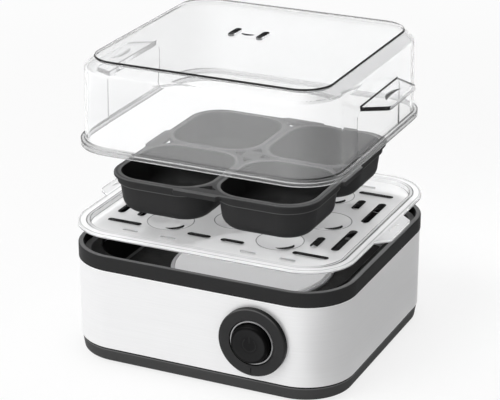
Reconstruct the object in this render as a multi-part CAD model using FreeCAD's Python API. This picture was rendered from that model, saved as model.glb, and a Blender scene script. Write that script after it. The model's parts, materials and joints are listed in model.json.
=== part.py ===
import FreeCAD, Part
import math
import os

# Egg cooker for eight eggs, with a poaching tray. Millimetres, Z up, X to the right, the control faces -Y.
# The origin is on the table, under the middle of the base. The egg rack, the poaching tray and the lid
# stand lifted off the base, one above the other, each by its own lift.

Vector = FreeCAD.Vector

# Base: outline of the steel band and the heights of its three layers
base_width = 212.0
base_depth = 195.0
base_corner = 37.0
foot_height = 2.5
cover_height = 10.9
band_height = 60.6
collar_height = 11.0
band_sheet = 0.8
band_flange = 6.8

# Collar: a narrow lip that stands proud of the band, with a shelf round the tub
collar_proud = 0.5
lip_width = 4.0
lip_round = 1.2
shelf_drop = 6.5
shelf_thick = 2.5
shelf_round = 1.4
skirt_depth = 12.0
skirt_gap = 0.4
skirt_thick = 2.0
post_x = 99.8
post_y = 30.0
post_radius = 3.5

# Water tub with its gasket and screws
tub_width = 188.0
tub_depth = 163.0
tub_corner = 32.0
tub_floor_height = 50.0
tub_draft = 3.0
tub_sheet = 1.5
tub_flange_thick = 1.2
tub_flange_width = 198.0
tub_flange_depth = 180.0
tub_flange_corner = 27.0
tub_floor_round = 3.0
gasket_thick = 1.0
tub_screw_x = 87.5
tub_screw_y = 78.0
tub_boss_radius = 2.5

# Heating plate, its seal and what hangs under it
plate_radius = 57.5
plate_thick = 2.2
plate_neck_radius = 54.0
plate_neck_depth = 5.8
seal_radius = 60.5
seal_floor_radius = 56.0
seal_pad = 0.8
element_radius = 42.0
element_tube_radius = 3.2
element_gap_angle = 36.0
thermostat_y = 26.0
fuse_y = -26.0

# Bottom cover, feet and cover screws
cover_taper = 2.0
cover_floor = 2.5
cover_lip_height = 8.0
foot_x = 78.0
foot_y = 68.0
foot_radius = 8.0
foot_stem_radius = 3.0
vent_x = 42.0
vent_length = 34.0
vent_width = 3.0
vent_pitch = 9.0
vent_count = 6

# Control on the front: bezel, bright ring and push button
control_x = 46.0
control_z = 43.0
bezel_radius = 25.2
bezel_proud = 4.6
bezel_bevel = 0.7
bezel_barrel_radius = 19.8
bright_ring_radius = 16.4
bright_ring_width = 1.5
bright_ring_gap = 0.5
bright_ring_sunk = 0.4
button_radius = 14.2
button_proud = 4.4
button_edge = 2.2
button_travel = 2.5
button_dish = 1.4
button_rim = 2.6
stem_radius = 3.1
spring_radius = 8.0
spring_wire_radius = 0.45
spring_turns = 4

# Mains inlet at the back
inlet_x = -60.0
inlet_z = 26.0
inlet_bore_radius = 3.7
inlet_barrel_radius = 6.8
inlet_flange_radius = 10.0
inlet_flange_thick = 2.4
inlet_nose = 8.4
inlet_nose_radius = 5.8

# How far each layer stands above its seat, and the room left at a seat
seat_gap = 0.4
rack_lift = 13.4
tray_lift = 12.6
lid_lift = 47.0

# Egg rack
rack_corner = 36.0
rack_sheet = 2.2
rack_flange = 9.0
rack_recess = 3.0
rack_tab_reach = 9.5
rack_tab_root = 60.0
rack_tab_tip = 38.0
rack_tab_round = 4.0
rack_mark_reach = 5.0
rack_mark_length = 22.0
rack_mark_thick = 3.0
rack_mark_depth = 0.8
seat_radius = 17.0
seat_depth = 1.4
drain_turn = 45.0
drain_inset = 8.4
drain_length = 14.0
drain_thick = 7.2
seat_places = [(43.0, 47.0), (43.0, -47.0), (-43.0, 47.0), (-43.0, -47.0),
               (0.0, 25.0), (0.0, -25.0), (60.0, 0.0), (-60.0, 0.0)]
slot_width = 6.0
end_slot_width = 5.0
thin_slot_width = 2.6
side_slot_x = 84.0
side_slot_span = (8.0, 48.0)
inner_slot_x = 68.0
inner_slot_span = (29.0, 48.0)
end_slot_y = 62.0
end_slot_spans = [(4.0, 22.0), (59.0, 86.0)]
thin_slot_y = 75.0
thin_slot_spans = [(25.0, 37.0), (55.0, 67.0)]

# Poaching tray: two by two cups
tray_width = 158.0
tray_depth = 166.0
tray_corner = 25.0
tray_height = 28.5
tray_rim = 2.0
tray_margin = 4.5
cup_web = 7.0
cup_corner = 22.0
cup_draft = 3.6
cup_wall = 1.6
cup_round = 8.5
cup_collar_height = 7.0
cup_collar_step = 0.9
tongue_length = 38.0
tongue_start = 24.0
tongue_slant = 3.0
tongue_reach = 2.4
tongue_height = 3.6

# Lid
lid_width = 200.0
lid_depth = 195.0
lid_corner = 33.0
lid_height = 63.5
lid_wall = 2.2
lid_flange_height = 4.0
lid_flange_step = 3.0
lid_draft = 1.0
lid_bevel_width = 7.0
lid_bevel_height = 6.5
lid_panel_rise = 1.2
lid_panel_inset = 0.6
lid_tab_height = 37.0
lid_tab_thick = 3.0
lid_tab_reach = 19.0
lid_tab_root = 72.0
lid_tab_tip = 50.0
lid_tab_round = 5.0
lid_mark_reach = 11.8
lid_mark_length = 28.0
lid_mark_thick = 5.2
lid_mark_depth = 1.0
lid_recess_depth = 0.4
lid_recess_length = 80.0
lid_recess_round = 6.0
lid_shoulder_round = 6.0
steam_middle_x = -10.0
steam_slot_x = 11.0
steam_slot_y = 15.0
steam_slot_length = 17.0
steam_slot_width = 5.0

# Gaps between pieces, and how far a cut runs past a face
slip_gap = 0.3
thread_gap = 0.15
face_gap = 0.1
past = 1.0

# Heights that follow from the driving dimensions
cover_bottom = foot_height
band_bottom = cover_bottom + cover_height
band_top = band_bottom + band_height
collar_top = band_top + collar_height
shelf_top = collar_top - shelf_drop
shelf_bottom = shelf_top - shelf_thick
tub_rim = shelf_bottom - gasket_thick
plate_bottom = tub_floor_height + seal_pad - plate_neck_depth
plate_top = tub_floor_height + seal_pad + plate_thick
front_face = -base_depth / 2
back_face = base_depth / 2
rack_bottom = collar_top + seat_gap + rack_lift
rack_top = rack_bottom + rack_sheet
rack_plate_top = rack_top - rack_recess
rack_plate_bottom = rack_plate_top - rack_sheet
tray_bottom = rack_plate_top + seat_gap + tray_lift
tray_top = tray_bottom + tray_height
lid_bottom = rack_top + seat_gap + tray_lift + lid_lift
lid_top = lid_bottom + lid_height

# Outlines as width, depth and corner radius
base_outline = (base_width, base_depth, base_corner)
tub_outline = (tub_width, tub_depth, tub_corner)
tub_flange_outline = (tub_flange_width, tub_flange_depth, tub_flange_corner)
rack_outline = (base_width, base_depth, rack_corner)
lid_outline = (lid_width, lid_depth, lid_corner)

# Places inside the base that several pieces share
cover_screw_radius = 1.6
cover_screw_hole = 1.9
cover_screw_top = 30.0
cover_head_radius = 3.2
cover_head_height = 2.9
cover_head_top = cover_bottom + cover_head_height
tub_screw_radius = 1.4
tub_screw_top = shelf_top - 0.5
tub_boss_bottom = tub_rim - tub_flange_thick + 0.1
element_z = plate_bottom - element_tube_radius - 0.3
clamp_top = element_z - element_tube_radius - 0.1
clamp_thick = 1.5
clamp_screw_radius = 2.4
thermostat_bottom = plate_bottom - 11.0
thermostat_blade_bottom = plate_bottom - 19.0
thermostat_blade_x = 4.5
blade_half_thick = 0.4
fuse_z = plate_bottom - 3.5
fuse_radius = 2.2
bezel_front = front_face - bezel_proud
groove_radius = bright_ring_radius + bright_ring_gap
groove_back = bezel_front + 4.2
guide_radius = 17.0
guide_front = bezel_front + 7.5
barrel_end = bezel_front + 16.5
carrier_thick = 1.5
button_front = bezel_front - button_proud
flange_radius = 16.2
flange_front = guide_front + 0.4
flange_back = flange_front + 1.6
stem_end = bezel_front + 22.7
switch_front = stem_end + button_travel + 0.5
switch_back = switch_front + 10.0
switch_blade_end = switch_back + 6.0
switch_half_height = 3.6
switch_blade_x = 4.0
plunger_radius = 1.4
plunger_inside = 4.5
lamp_radius = 2.4
lamp_rise = 13.0
block_x = -45.0
block_front = 61.0
block_pitch = 10.0
wire_level = 13.0


def grown(outline, by):
    """The outline moved outwards by a distance, or inwards where it is negative."""
    width, depth, radius = outline
    return (width + 2 * by, depth + 2 * by, radius + by)


def outline_wire(outline, z, centre=(0.0, 0.0)):
    """A closed wire round a rectangle with round corners."""
    width, depth, radius = outline
    cx, cy = centre
    half_x = width / 2 - radius
    half_y = depth / 2 - radius
    slant = radius * math.sqrt(0.5)
    edges = []
    last = None
    first = None
    for sx, sy in ((1, 1), (-1, 1), (-1, -1), (1, -1)):
        corner = Vector(cx + sx * half_x, cy + sy * half_y, z)
        along_x = corner + Vector(sx * radius, 0, 0)
        along_y = corner + Vector(0, sy * radius, 0)
        middle = corner + Vector(sx * slant, sy * slant, 0)
        start, end = (along_x, along_y) if sx == sy else (along_y, along_x)
        if last is not None:
            edges.append(Part.makeLine(last, start))
        else:
            first = start
        edges.append(Part.Arc(start, middle, end).toShape())
        last = end
    edges.append(Part.makeLine(last, first))
    return Part.Wire(edges)


def prism(outline, low, high, centre=(0.0, 0.0)):
    """An upright solid on a round-cornered outline."""
    face = Part.Face(outline_wire(outline, low, centre))
    return face.extrude(Vector(0, 0, high - low))


def tapered(low_outline, low, high_outline, high, centre=(0.0, 0.0)):
    """A solid that goes straight from one outline to another above it."""
    wires = [outline_wire(low_outline, low, centre), outline_wire(high_outline, high, centre)]
    return Part.makeLoft(wires, True, True)


def upright(radius, low, high, x=0.0, y=0.0):
    """A round bar along Z."""
    return Part.makeCylinder(radius, high - low, Vector(x, y, low), Vector(0, 0, 1))


def lengthwise(radius, start, end, x, z):
    """A round bar along Y."""
    return Part.makeCylinder(radius, end - start, Vector(x, start, z), Vector(0, 1, 0))


def block(x_range, y_range, z_range):
    """A plain box between two limits on each axis."""
    size = [limits[1] - limits[0] for limits in (x_range, y_range, z_range)]
    return Part.makeBox(size[0], size[1], size[2], Vector(x_range[0], y_range[0], z_range[0]))


def turned(profile, x, z):
    """A solid turned about a line along Y, from points of radius and Y."""
    points = [Vector(x + radius, y, z) for radius, y in profile]
    face = Part.Face(Part.makePolygon(points + points[:1]))
    return face.revolve(Vector(x, 0, z), Vector(0, 1, 0), 360)


def spun(profile):
    """A solid turned about the upright middle line, from points of radius and Z."""
    points = [Vector(radius, 0, z) for radius, z in profile]
    face = Part.Face(Part.makePolygon(points + points[:1]))
    return face.revolve(Vector(0, 0, 0), Vector(0, 0, 1), 360)


def slot(x_range, y_range, low, high):
    """An upright slot with round ends, along its longer side."""
    width = x_range[1] - x_range[0]
    depth = y_range[1] - y_range[0]
    centre = ((x_range[0] + x_range[1]) / 2, (y_range[0] + y_range[1]) / 2)
    radius = min(width, depth) / 2
    ends = []
    reach = (max(width, depth) / 2 - radius)
    for side in (-1, 1):
        x = centre[0] + (side * reach if width > depth else 0)
        y = centre[1] + (side * reach if depth > width else 0)
        ends.append(upright(radius, low, high, x, y))
    if width > depth:
        middle = block((centre[0] - reach, centre[0] + reach), y_range, (low, high))
    else:
        middle = block(x_range, (centre[1] - reach, centre[1] + reach), (low, high))
    return middle.fuse(ends).removeSplitter()


def crescent(x, y, length, thick, low, high):
    """An upright crescent that bulges towards -Y."""
    hollow_share = 0.25
    outer = Vector(x, y - thick, low)
    inner = Vector(x, y - thick * hollow_share, low)
    left = Vector(x - length / 2, y, low)
    right = Vector(x + length / 2, y, low)
    edges = [Part.Arc(left, outer, right).toShape(), Part.Arc(right, inner, left).toShape()]
    return Part.Face(Part.Wire(edges)).extrude(Vector(0, 0, high - low))


def plate_of(points, low, high):
    """An upright solid on a polygon of X, Y points."""
    corners = [Vector(x, y, low) for x, y in points]
    return Part.Face(Part.makePolygon(corners + corners[:1])).extrude(Vector(0, 0, high - low))


def corners_of(x, y):
    """The four places at plus and minus X and Y."""
    return [(sx * x, sy * y) for sx in (-1, 1) for sy in (-1, 1)]


def edges_at(shape, height, inside=None):
    """The edges that lie flat at a height, or only those within an outline about the middle."""
    found = []
    for edge in shape.Edges:
        box = edge.BoundBox
        flat = abs(box.ZMin - height) < 1e-4 and abs(box.ZMax - height) < 1e-4
        within = True
        if inside is not None:
            reach_x = max(abs(box.XMin), abs(box.XMax))
            reach_y = max(abs(box.YMin), abs(box.YMax))
            within = reach_x < inside[0] / 2 and reach_y < inside[1] / 2
        if flat and within:
            found.append(edge)
    return found


def corner_arc(before, corner, after):
    """The arc that leaves one point towards a corner and arrives at another, as far from the corner."""
    back = (before - corner).normalize()
    ahead = (after - corner).normalize()
    half_turn = (math.pi - back.getAngle(ahead)) / 2
    radius = (before - corner).Length / math.tan(half_turn)
    middle = corner + (back + ahead).normalize() * (radius / math.cos(half_turn) - radius)
    return Part.Arc(before, middle, after).toShape()


def bent_path(points, bend):
    """A wire of straight runs joined by tangent arcs."""
    longest_share = 0.45
    edges = []
    start = points[0]
    for before, corner, after in zip(points, points[1:], points[2:]):
        back = (before - corner).normalize()
        ahead = (after - corner).normalize()
        half_turn = (math.pi - back.getAngle(ahead)) / 2
        shorter = min((before - corner).Length, (after - corner).Length)
        reach = min(bend * math.tan(half_turn), longest_share * shorter)
        edges.append(Part.makeLine(start, corner + back * reach))
        edges.append(corner_arc(corner + back * reach, corner, corner + ahead * reach))
        start = corner + ahead * reach
    edges.append(Part.makeLine(start, points[-1]))
    return Part.Wire(edges)


def tube_along(path, radius):
    """A round tube along a wire."""
    first = path.Edges[0]
    start = first.valueAt(first.FirstParameter)
    heading = first.tangentAt(first.FirstParameter)
    section = Part.Wire(Part.makeCircle(radius, start, heading))
    return path.makePipeShell([section], True, False)


def steel_band():
    """The brushed band: a thin wall with its bottom edge turned in."""
    band = prism(base_outline, band_bottom, band_top)
    band = band.cut(prism(grown(base_outline, -band_sheet), band_bottom + band_sheet, band_top + past))
    wall = 2 * band_sheet
    hole_room = 0.4
    holes = [prism(grown(base_outline, -band_flange), band_bottom - past, band_bottom + wall)]
    holes.append(lengthwise(bezel_barrel_radius + hole_room, front_face - past, front_face + wall,
                            control_x, control_z))
    holes.append(lengthwise(inlet_barrel_radius + hole_room, back_face - wall, back_face + past,
                            inlet_x, inlet_z))
    for x, y in corners_of(post_x, post_y):
        holes.append(upright(cover_screw_hole, band_bottom - past, band_bottom + wall, x, y))
    return band.cut(holes)


def top_collar():
    """The black collar: lip, shelf, a skirt inside the band and four posts for the cover screws."""
    lip = prism(grown(base_outline, collar_proud), band_top, collar_top)
    lip = lip.cut(prism(grown(base_outline, collar_proud - lip_width), shelf_top, collar_top + past))
    lip = lip.makeFillet(lip_round, edges_at(lip, collar_top))
    lip = lip.cut(prism(tub_outline, band_top - past, collar_top))
    lip = lip.makeFillet(shelf_round, edges_at(lip, shelf_top, grown(tub_outline, past)))
    inner_skirt = grown(base_outline, -band_sheet - skirt_gap - skirt_thick)
    lip = lip.cut(prism(inner_skirt, band_top - past, shelf_bottom))
    skirt = prism(grown(base_outline, -band_sheet - skirt_gap), band_top - skirt_depth, band_top)
    skirt = skirt.cut(prism(inner_skirt, band_top - skirt_depth - past, band_top + past))
    post_top = tub_rim - tub_flange_thick - seat_gap
    added = [skirt]
    for x, y in corners_of(post_x, post_y):
        added.append(upright(post_radius, band_bottom + band_sheet, post_top, x, y))
    for x, y in corners_of(tub_screw_x, tub_screw_y):
        added.append(upright(tub_boss_radius, tub_boss_bottom, shelf_bottom, x, y))
    bezel_room = 0.5
    notch_depth = 8.0
    bores = [lengthwise(bezel_radius + bezel_room, front_face, front_face + notch_depth,
                        control_x, control_z)]
    for x, y in corners_of(post_x, post_y):
        bores.append(upright(cover_screw_radius, band_bottom, cover_screw_top + past, x, y))
    for x, y in corners_of(tub_screw_x, tub_screw_y):
        bores.append(upright(tub_screw_radius, tub_boss_bottom - past, tub_screw_top, x, y))
    return lip.fuse(added).removeSplitter().cut(bores)


def tub_gasket():
    """The flat silicone gasket between the tub's flange and the shelf."""
    outer_inset = 0.6
    inner_inset = 0.8
    low = tub_rim - past
    high = shelf_bottom + past
    ring = prism(grown(tub_flange_outline, -outer_inset), tub_rim, shelf_bottom)
    cuts = [prism(grown(tub_outline, inner_inset), low, high)]
    for x, y in corners_of(tub_screw_x, tub_screw_y):
        cuts.append(upright(tub_boss_radius + slip_gap, low, high, x, y))
    return ring.cut(cuts)


def water_tub():
    """The drawn black tub with its flange and the round hole for the heating plate."""
    floor_under = tub_floor_height - tub_sheet
    shell = tapered(grown(tub_outline, tub_sheet - tub_draft), floor_under,
                    grown(tub_outline, tub_sheet), tub_rim)
    flange = prism(tub_flange_outline, tub_rim - tub_flange_thick, tub_rim)
    hollow = tapered(grown(tub_outline, -tub_draft), tub_floor_height, tub_outline, tub_rim)
    hollow = hollow.makeFillet(tub_floor_round, edges_at(hollow, tub_floor_height))
    cuts = [hollow, upright(seal_floor_radius, floor_under - past, tub_floor_height + past)]
    for x, y in corners_of(tub_screw_x, tub_screw_y):
        cuts.append(upright(tub_boss_radius + slip_gap, tub_rim - tub_flange_thick - past,
                            tub_rim + past, x, y))
    return shell.fuse(flange).removeSplitter().cut(cuts)


def tub_screws():
    """Four pan-head screws that hold the tub to the collar from below."""
    head_radius = 3.3
    head_height = 2.2
    head_round = 0.8
    end_room = 0.5
    head_top = tub_rim - tub_flange_thick
    screws = []
    for x, y in corners_of(tub_screw_x, tub_screw_y):
        head = upright(head_radius, head_top - head_height, head_top, x, y)
        head = head.makeFillet(head_round, edges_at(head, head_top - head_height))
        shank = upright(tub_screw_radius, head_top - past, tub_screw_top - end_room, x, y)
        screws.append(head.fuse(shank).removeSplitter())
    return Part.makeCompound(screws)


def plate_seal():
    """The silicone ring that grips the tub's floor and frames the heating plate."""
    drop = 0.6
    bevel = 0.8
    lip_thick = 1.4
    lip_reach = 2.0
    grip_gap = 0.2
    top = plate_top - drop
    pad_top = tub_floor_height + seal_pad
    inner = plate_neck_radius + grip_gap
    waist = seal_floor_radius - grip_gap
    lip = seal_floor_radius + lip_reach
    under = tub_floor_height - tub_sheet - face_gap
    profile = [(inner, under - lip_thick), (lip, under - lip_thick), (lip, under), (waist, under),
               (waist, tub_floor_height), (seal_radius, tub_floor_height), (seal_radius, top - bevel),
               (seal_radius - bevel, top), (plate_radius + slip_gap, top), (plate_radius + slip_gap, pad_top),
               (inner, pad_top)]
    return spun(profile)


def heating_plate():
    """The aluminium plate with its neck through the tub's floor and a boss for the clamp screw."""
    disc_bottom = tub_floor_height + seal_pad
    boss_radius = 6.0
    bevel = 0.8
    profile = [(0, clamp_top), (boss_radius, clamp_top), (boss_radius, plate_bottom),
               (plate_neck_radius, plate_bottom), (plate_neck_radius, disc_bottom),
               (plate_radius, disc_bottom), (plate_radius, plate_top - bevel),
               (plate_radius - bevel, plate_top), (0, plate_top)]
    bore = upright(clamp_screw_radius, clamp_top - past, plate_bottom)
    return spun(profile).cut(bore)


def element_end(side):
    """Where one end of the heating tube turns down."""
    angle = math.radians(90 + side * element_gap_angle / 2)
    return (element_radius * math.cos(angle), element_radius * math.sin(angle))


def heating_element():
    """The tubular heater: most of a ring, with both ends turned down to their pins."""
    leg_bottom = 30.0
    pin_bottom = 22.0
    pin_radius = 1.2
    sweep = 360 - element_gap_angle
    ring = Part.makeTorus(element_radius, element_tube_radius, Vector(0, 0, element_z), Vector(0, 0, 1),
                          0, 360, sweep)
    ring.rotate(Vector(0, 0, 0), Vector(0, 0, 1), 90 + element_gap_angle / 2)
    pieces = []
    for side in (-1, 1):
        x, y = element_end(side)
        pieces.append(Part.makeSphere(element_tube_radius, Vector(x, y, element_z)))
        pieces.append(upright(element_tube_radius, leg_bottom, element_z, x, y))
        pieces.append(upright(pin_radius, pin_bottom, leg_bottom, x, y))
    return ring.fuse(pieces).removeSplitter()


def element_clamp():
    """The steel bar that presses the heating tube against the plate."""
    half_length = 48.0
    half_width = 7.0
    low = clamp_top - clamp_thick
    bar = block((-half_length, half_length), (-half_width, half_width), (low, clamp_top))
    return bar.cut(upright(clamp_screw_radius + slip_gap, low - past, clamp_top + past))


def clamp_screw():
    """The screw through the middle of the clamp bar."""
    head_radius = 5.0
    head_height = 3.5
    head_top = clamp_top - clamp_thick
    head = upright(head_radius, head_top - head_height, head_top)
    shank = upright(clamp_screw_radius - face_gap, head_top - past, plate_bottom - past)
    return head.fuse(shank).removeSplitter()


def thermostat():
    """The bimetal thermostat under the plate, with two blades."""
    body_radius = 8.0
    flange_reach = 10.0
    flange_thick = 2.0
    flange_bottom = plate_bottom - flange_thick
    blade_half = 3.0
    body = upright(body_radius, thermostat_bottom, flange_bottom, 0, thermostat_y)
    flange = upright(flange_reach, flange_bottom, plate_bottom, 0, thermostat_y)
    blades = []
    for side in (-1, 1):
        x = side * thermostat_blade_x
        across = (x - blade_half_thick, x + blade_half_thick)
        blades.append(block(across, (thermostat_y - blade_half, thermostat_y + blade_half),
                            (thermostat_blade_bottom, thermostat_bottom)))
    return body.fuse([flange] + blades).removeSplitter()


def thermal_fuse():
    """The one-shot fuse, a small capsule with a lead at each end."""
    capsule_length = 14.0
    lead_radius = 0.5
    lead_length = 30.0
    across = Vector(1, 0, 0)
    capsule_start = Vector(-capsule_length / 2, fuse_y, fuse_z)
    capsule = Part.makeCylinder(fuse_radius, capsule_length, capsule_start, across)
    lead_start = Vector(-lead_length / 2, fuse_y, fuse_z)
    leads = Part.makeCylinder(lead_radius, lead_length, lead_start, across)
    return capsule.fuse(leads).removeSplitter()


def fuse_clip():
    """The clip that holds the fuse against the plate."""
    half_x = 4.5
    half_y = 3.8
    under = 3.1
    clip = block((-half_x, half_x), (fuse_y - half_y, fuse_y + half_y), (fuse_z - under, plate_bottom))
    hole_start = Vector(-2 * half_x, fuse_y, fuse_z)
    hole = Part.makeCylinder(fuse_radius + face_gap, 4 * half_x, hole_start, Vector(1, 0, 0))
    return clip.cut(hole)


def bottom_cover():
    """The black bottom pan: tapered side, a seam under the band, a lip inside it, screw bosses and vents."""
    top_inset = 0.3
    wall = 2.6
    web = 2.5
    lip_gap = 0.5
    lip_thick = 2.0
    edge_round = 1.5
    seam_depth = 1.6
    seam_height = 1.0
    gap_half = 6.0
    bush_gap_half = 13.0
    gap_top = 60.0
    floor_top = cover_bottom + cover_floor
    low = cover_bottom - past
    pan = tapered(grown(base_outline, -cover_taper), cover_bottom,
                  grown(base_outline, -top_inset), band_bottom)
    pan = pan.makeFillet(edge_round, edges_at(pan, cover_bottom))
    seam = prism(grown(base_outline, past), band_bottom - seam_height, band_bottom + past)
    seam = seam.cut(prism(grown(base_outline, -seam_depth), band_bottom - seam_height - past,
                          band_bottom + 2 * past))
    pan = pan.cut(seam)
    lip_outer = grown(base_outline, -band_flange - lip_gap)
    lip_inner = grown(lip_outer, -lip_thick)
    pan = pan.cut(prism(grown(base_outline, -cover_taper - wall), floor_top, band_bottom - web))
    pan = pan.cut(prism(lip_inner, floor_top, band_bottom + past))
    lip = prism(lip_outer, band_bottom - web, band_bottom + cover_lip_height)
    lip = lip.cut(prism(lip_inner, band_bottom - web - past, band_bottom + cover_lip_height + past))
    # The lip has gaps where the posts and the inlet bush pass
    gaps = [block((inlet_x - bush_gap_half, inlet_x + bush_gap_half), (base_depth / 4, base_depth / 2),
                  (band_bottom, gap_top))]
    for x, y in corners_of(post_x, post_y):
        gaps.append(block((x - gap_half, x + gap_half), (y - gap_half, y + gap_half), (band_bottom, gap_top)))
    lip = lip.cut(gaps)
    boss_radius = 4.0
    bosses = [upright(boss_radius, floor_top - past, band_bottom - web + past / 2, x, y)
              for x, y in corners_of(post_x, post_y)]
    cuts = []
    for x, y in corners_of(post_x, post_y):
        cuts.append(upright(cover_screw_hole, low, band_bottom + past, x, y))
        cuts.append(upright(cover_head_radius + slip_gap, low, cover_head_top, x, y))
    for x, y in corners_of(foot_x, foot_y):
        cuts.append(upright(foot_stem_radius + slip_gap, low, floor_top + past, x, y))
    for side in (-1, 1):
        for number in range(vent_count):
            y = (number - (vent_count - 1) / 2) * vent_pitch
            x = side * vent_x
            along = (x - vent_length / 2, x + vent_length / 2)
            across = (y - vent_width / 2, y + vent_width / 2)
            cuts.append(slot(along, across, low, floor_top + past))
    return pan.fuse([lip] + bosses).removeSplitter().cut(cuts)


def cover_screws():
    """Four screws from below, through the cover and the band's edge into the posts."""
    head_sunk = 0.7
    drive_half = 2.0
    drive_half_width = 0.4
    drive_range = (cover_bottom, cover_bottom + 2 * head_sunk)
    shank_gap = 0.05
    shank_radius = cover_screw_radius - shank_gap
    screws = []
    for x, y in corners_of(post_x, post_y):
        head = upright(cover_head_radius, cover_bottom + head_sunk, cover_head_top, x, y)
        shank = upright(shank_radius, cover_head_top - past / 2, cover_screw_top, x, y)
        drive = block((x - drive_half, x + drive_half), (y - drive_half_width, y + drive_half_width),
                      drive_range)
        cross = block((x - drive_half_width, x + drive_half_width), (y - drive_half, y + drive_half),
                      drive_range)
        screws.append(head.fuse(shank).removeSplitter().cut([drive, cross]))
    return Part.makeCompound(screws)


def rubber_feet():
    """Four rubber feet with a plug through the cover."""
    edge_round = 1.0
    barb_height = 1.6
    barb_reach = 0.9
    floor_top = cover_bottom + cover_floor
    feet = []
    for x, y in corners_of(foot_x, foot_y):
        pad = upright(foot_radius, 0.0, foot_height, x, y)
        pad = pad.makeFillet(edge_round, edges_at(pad, 0.0))
        stem = upright(foot_stem_radius, foot_height - past, floor_top + barb_height, x, y)
        barb = upright(foot_stem_radius + barb_reach, floor_top + face_gap, floor_top + barb_height, x, y)
        feet.append(pad.fuse([stem, barb]).removeSplitter())
    return Part.makeCompound(feet)


def button_bezel():
    """The round bezel on the front, with its barrel through the band and a small mark below the button."""
    rim = bezel_front + bezel_bevel
    back = front_face - face_gap
    guide = button_radius + bright_ring_gap - face_gap
    profile = [(groove_radius, bezel_front), (bezel_radius - bezel_bevel, bezel_front), (bezel_radius, rim),
               (bezel_radius, back), (bezel_barrel_radius, back), (bezel_barrel_radius, barrel_end),
               (guide_radius, barrel_end), (guide_radius, guide_front), (guide, guide_front),
               (guide, groove_back), (groove_radius, groove_back)]
    bezel = turned(profile, control_x, control_z)
    mark_z = control_z - (bezel_radius + groove_radius) / 2
    mark_half_width = 0.6
    mark_half_length = 2.0
    mark_depth = 0.4
    mark = block((control_x - mark_half_width, control_x + mark_half_width),
                 (bezel_front - past, bezel_front + mark_depth),
                 (mark_z - mark_half_length, mark_z + mark_half_length))
    return bezel.cut(mark)


def bezel_nut():
    """The flat ring nut that holds the bezel from behind the band."""
    thick = 3.0
    outer = 23.6
    notch_radius = 2.0
    notch_count = 6
    front = front_face + band_sheet + face_gap
    back = front + thick
    inner = bezel_barrel_radius + thread_gap
    profile = [(inner, front), (outer, front), (outer, back), (inner, back)]
    ring = turned(profile, control_x, control_z)
    notches = []
    for number in range(notch_count):
        angle = math.radians(number * 360 / notch_count)
        x = control_x + outer * math.cos(angle)
        z = control_z + outer * math.sin(angle)
        notches.append(lengthwise(notch_radius, front - past, back + past, x, z))
    return ring.cut(notches)


def light_ring():
    """The bright ring round the push button."""
    inner = bright_ring_radius - bright_ring_width
    front = bezel_front + bright_ring_sunk
    back = groove_back - 2 * face_gap
    inner_bevel = 0.5
    outer_bevel = 0.35
    profile = [(inner, front + inner_bevel), (inner + inner_bevel, front),
               (bright_ring_radius - outer_bevel, front), (bright_ring_radius, front + outer_bevel),
               (bright_ring_radius, back), (inner, back)]
    return turned(profile, control_x, control_z)


def power_button():
    """The push button: a dished cap, a flange that stops it and a stem to the switch."""
    profile = [(0, button_front), (button_radius, button_front), (button_radius, flange_front),
               (flange_radius, flange_front), (flange_radius, flange_back),
               (stem_radius, flange_back), (stem_radius, stem_end), (0, stem_end)]
    button = turned(profile, control_x, control_z)
    rim = [edge for edge in button.Edges
           if edge.BoundBox.YLength < 1e-4 and abs(edge.BoundBox.YMin - button_front) < 1e-4
           and edge.BoundBox.XLength > button_radius]
    button = button.makeFillet(button_edge, rim)
    dish_radius = button_radius - button_rim
    ball = (dish_radius ** 2 + button_dish ** 2) / (2 * button_dish)
    dish = Part.makeSphere(ball, Vector(control_x, button_front + button_dish - ball, control_z))
    return button.cut(dish)


def button_spring():
    """The coil spring that pushes the button out."""
    end_room = 0.6
    start = flange_back + end_room
    length = barrel_end - end_room - start
    quarters = 4 * spring_turns
    places = []
    headings = []
    for step in range(quarters + 1):
        angle = step * math.pi / 2
        places.append(Vector(control_x + spring_radius * math.cos(angle), start + length * step / quarters,
                             control_z + spring_radius * math.sin(angle)))
        rise = length / (2 * math.pi * spring_turns)
        heading = Vector(-spring_radius * math.sin(angle), rise, spring_radius * math.cos(angle))
        headings.append(heading.normalize())
    # Each quarter turn is two arcs that share a tangent where they meet
    arcs = []
    for step in range(quarters):
        span = places[step + 1] - places[step]
        both = headings[step] + headings[step + 1]
        spread = 4 - both.dot(both)
        along = span.dot(both)
        reach = (math.sqrt(along ** 2 + spread * span.dot(span)) - along) / spread
        leaving = places[step] + headings[step] * reach
        arriving = places[step + 1] - headings[step + 1] * reach
        joint = (leaving + arriving) * 0.5
        arcs.append(corner_arc(places[step], leaving, joint))
        arcs.append(corner_arc(joint, arriving, places[step + 1]))
    return tube_along(Part.Wire(arcs), spring_wire_radius)


def button_carrier():
    """The plate that closes the bezel's barrel and guides the stem and the lamp."""
    plate = lengthwise(bezel_barrel_radius, barrel_end, barrel_end + carrier_thick, control_x, control_z)
    stem_room = 0.5
    low = barrel_end - past
    high = barrel_end + carrier_thick + past
    stem_hole = lengthwise(stem_radius + stem_room, low, high, control_x, control_z)
    lamp_hole = lengthwise(lamp_radius + slip_gap, low, high, control_x, control_z + lamp_rise)
    return plate.cut([stem_hole, lamp_hole])


def switch_bracket():
    """Two steel arms from the carrier that hold the switch."""
    start = barrel_end + carrier_thick
    half_width = 9.0
    half_thick = 0.5
    arms = []
    for side in (-1, 1):
        z = control_z + side * (switch_half_height + half_thick + face_gap)
        arms.append(block((control_x - half_width, control_x + half_width), (start, switch_back),
                          (z - half_thick, z + half_thick)))
    return Part.makeCompound(arms)


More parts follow.
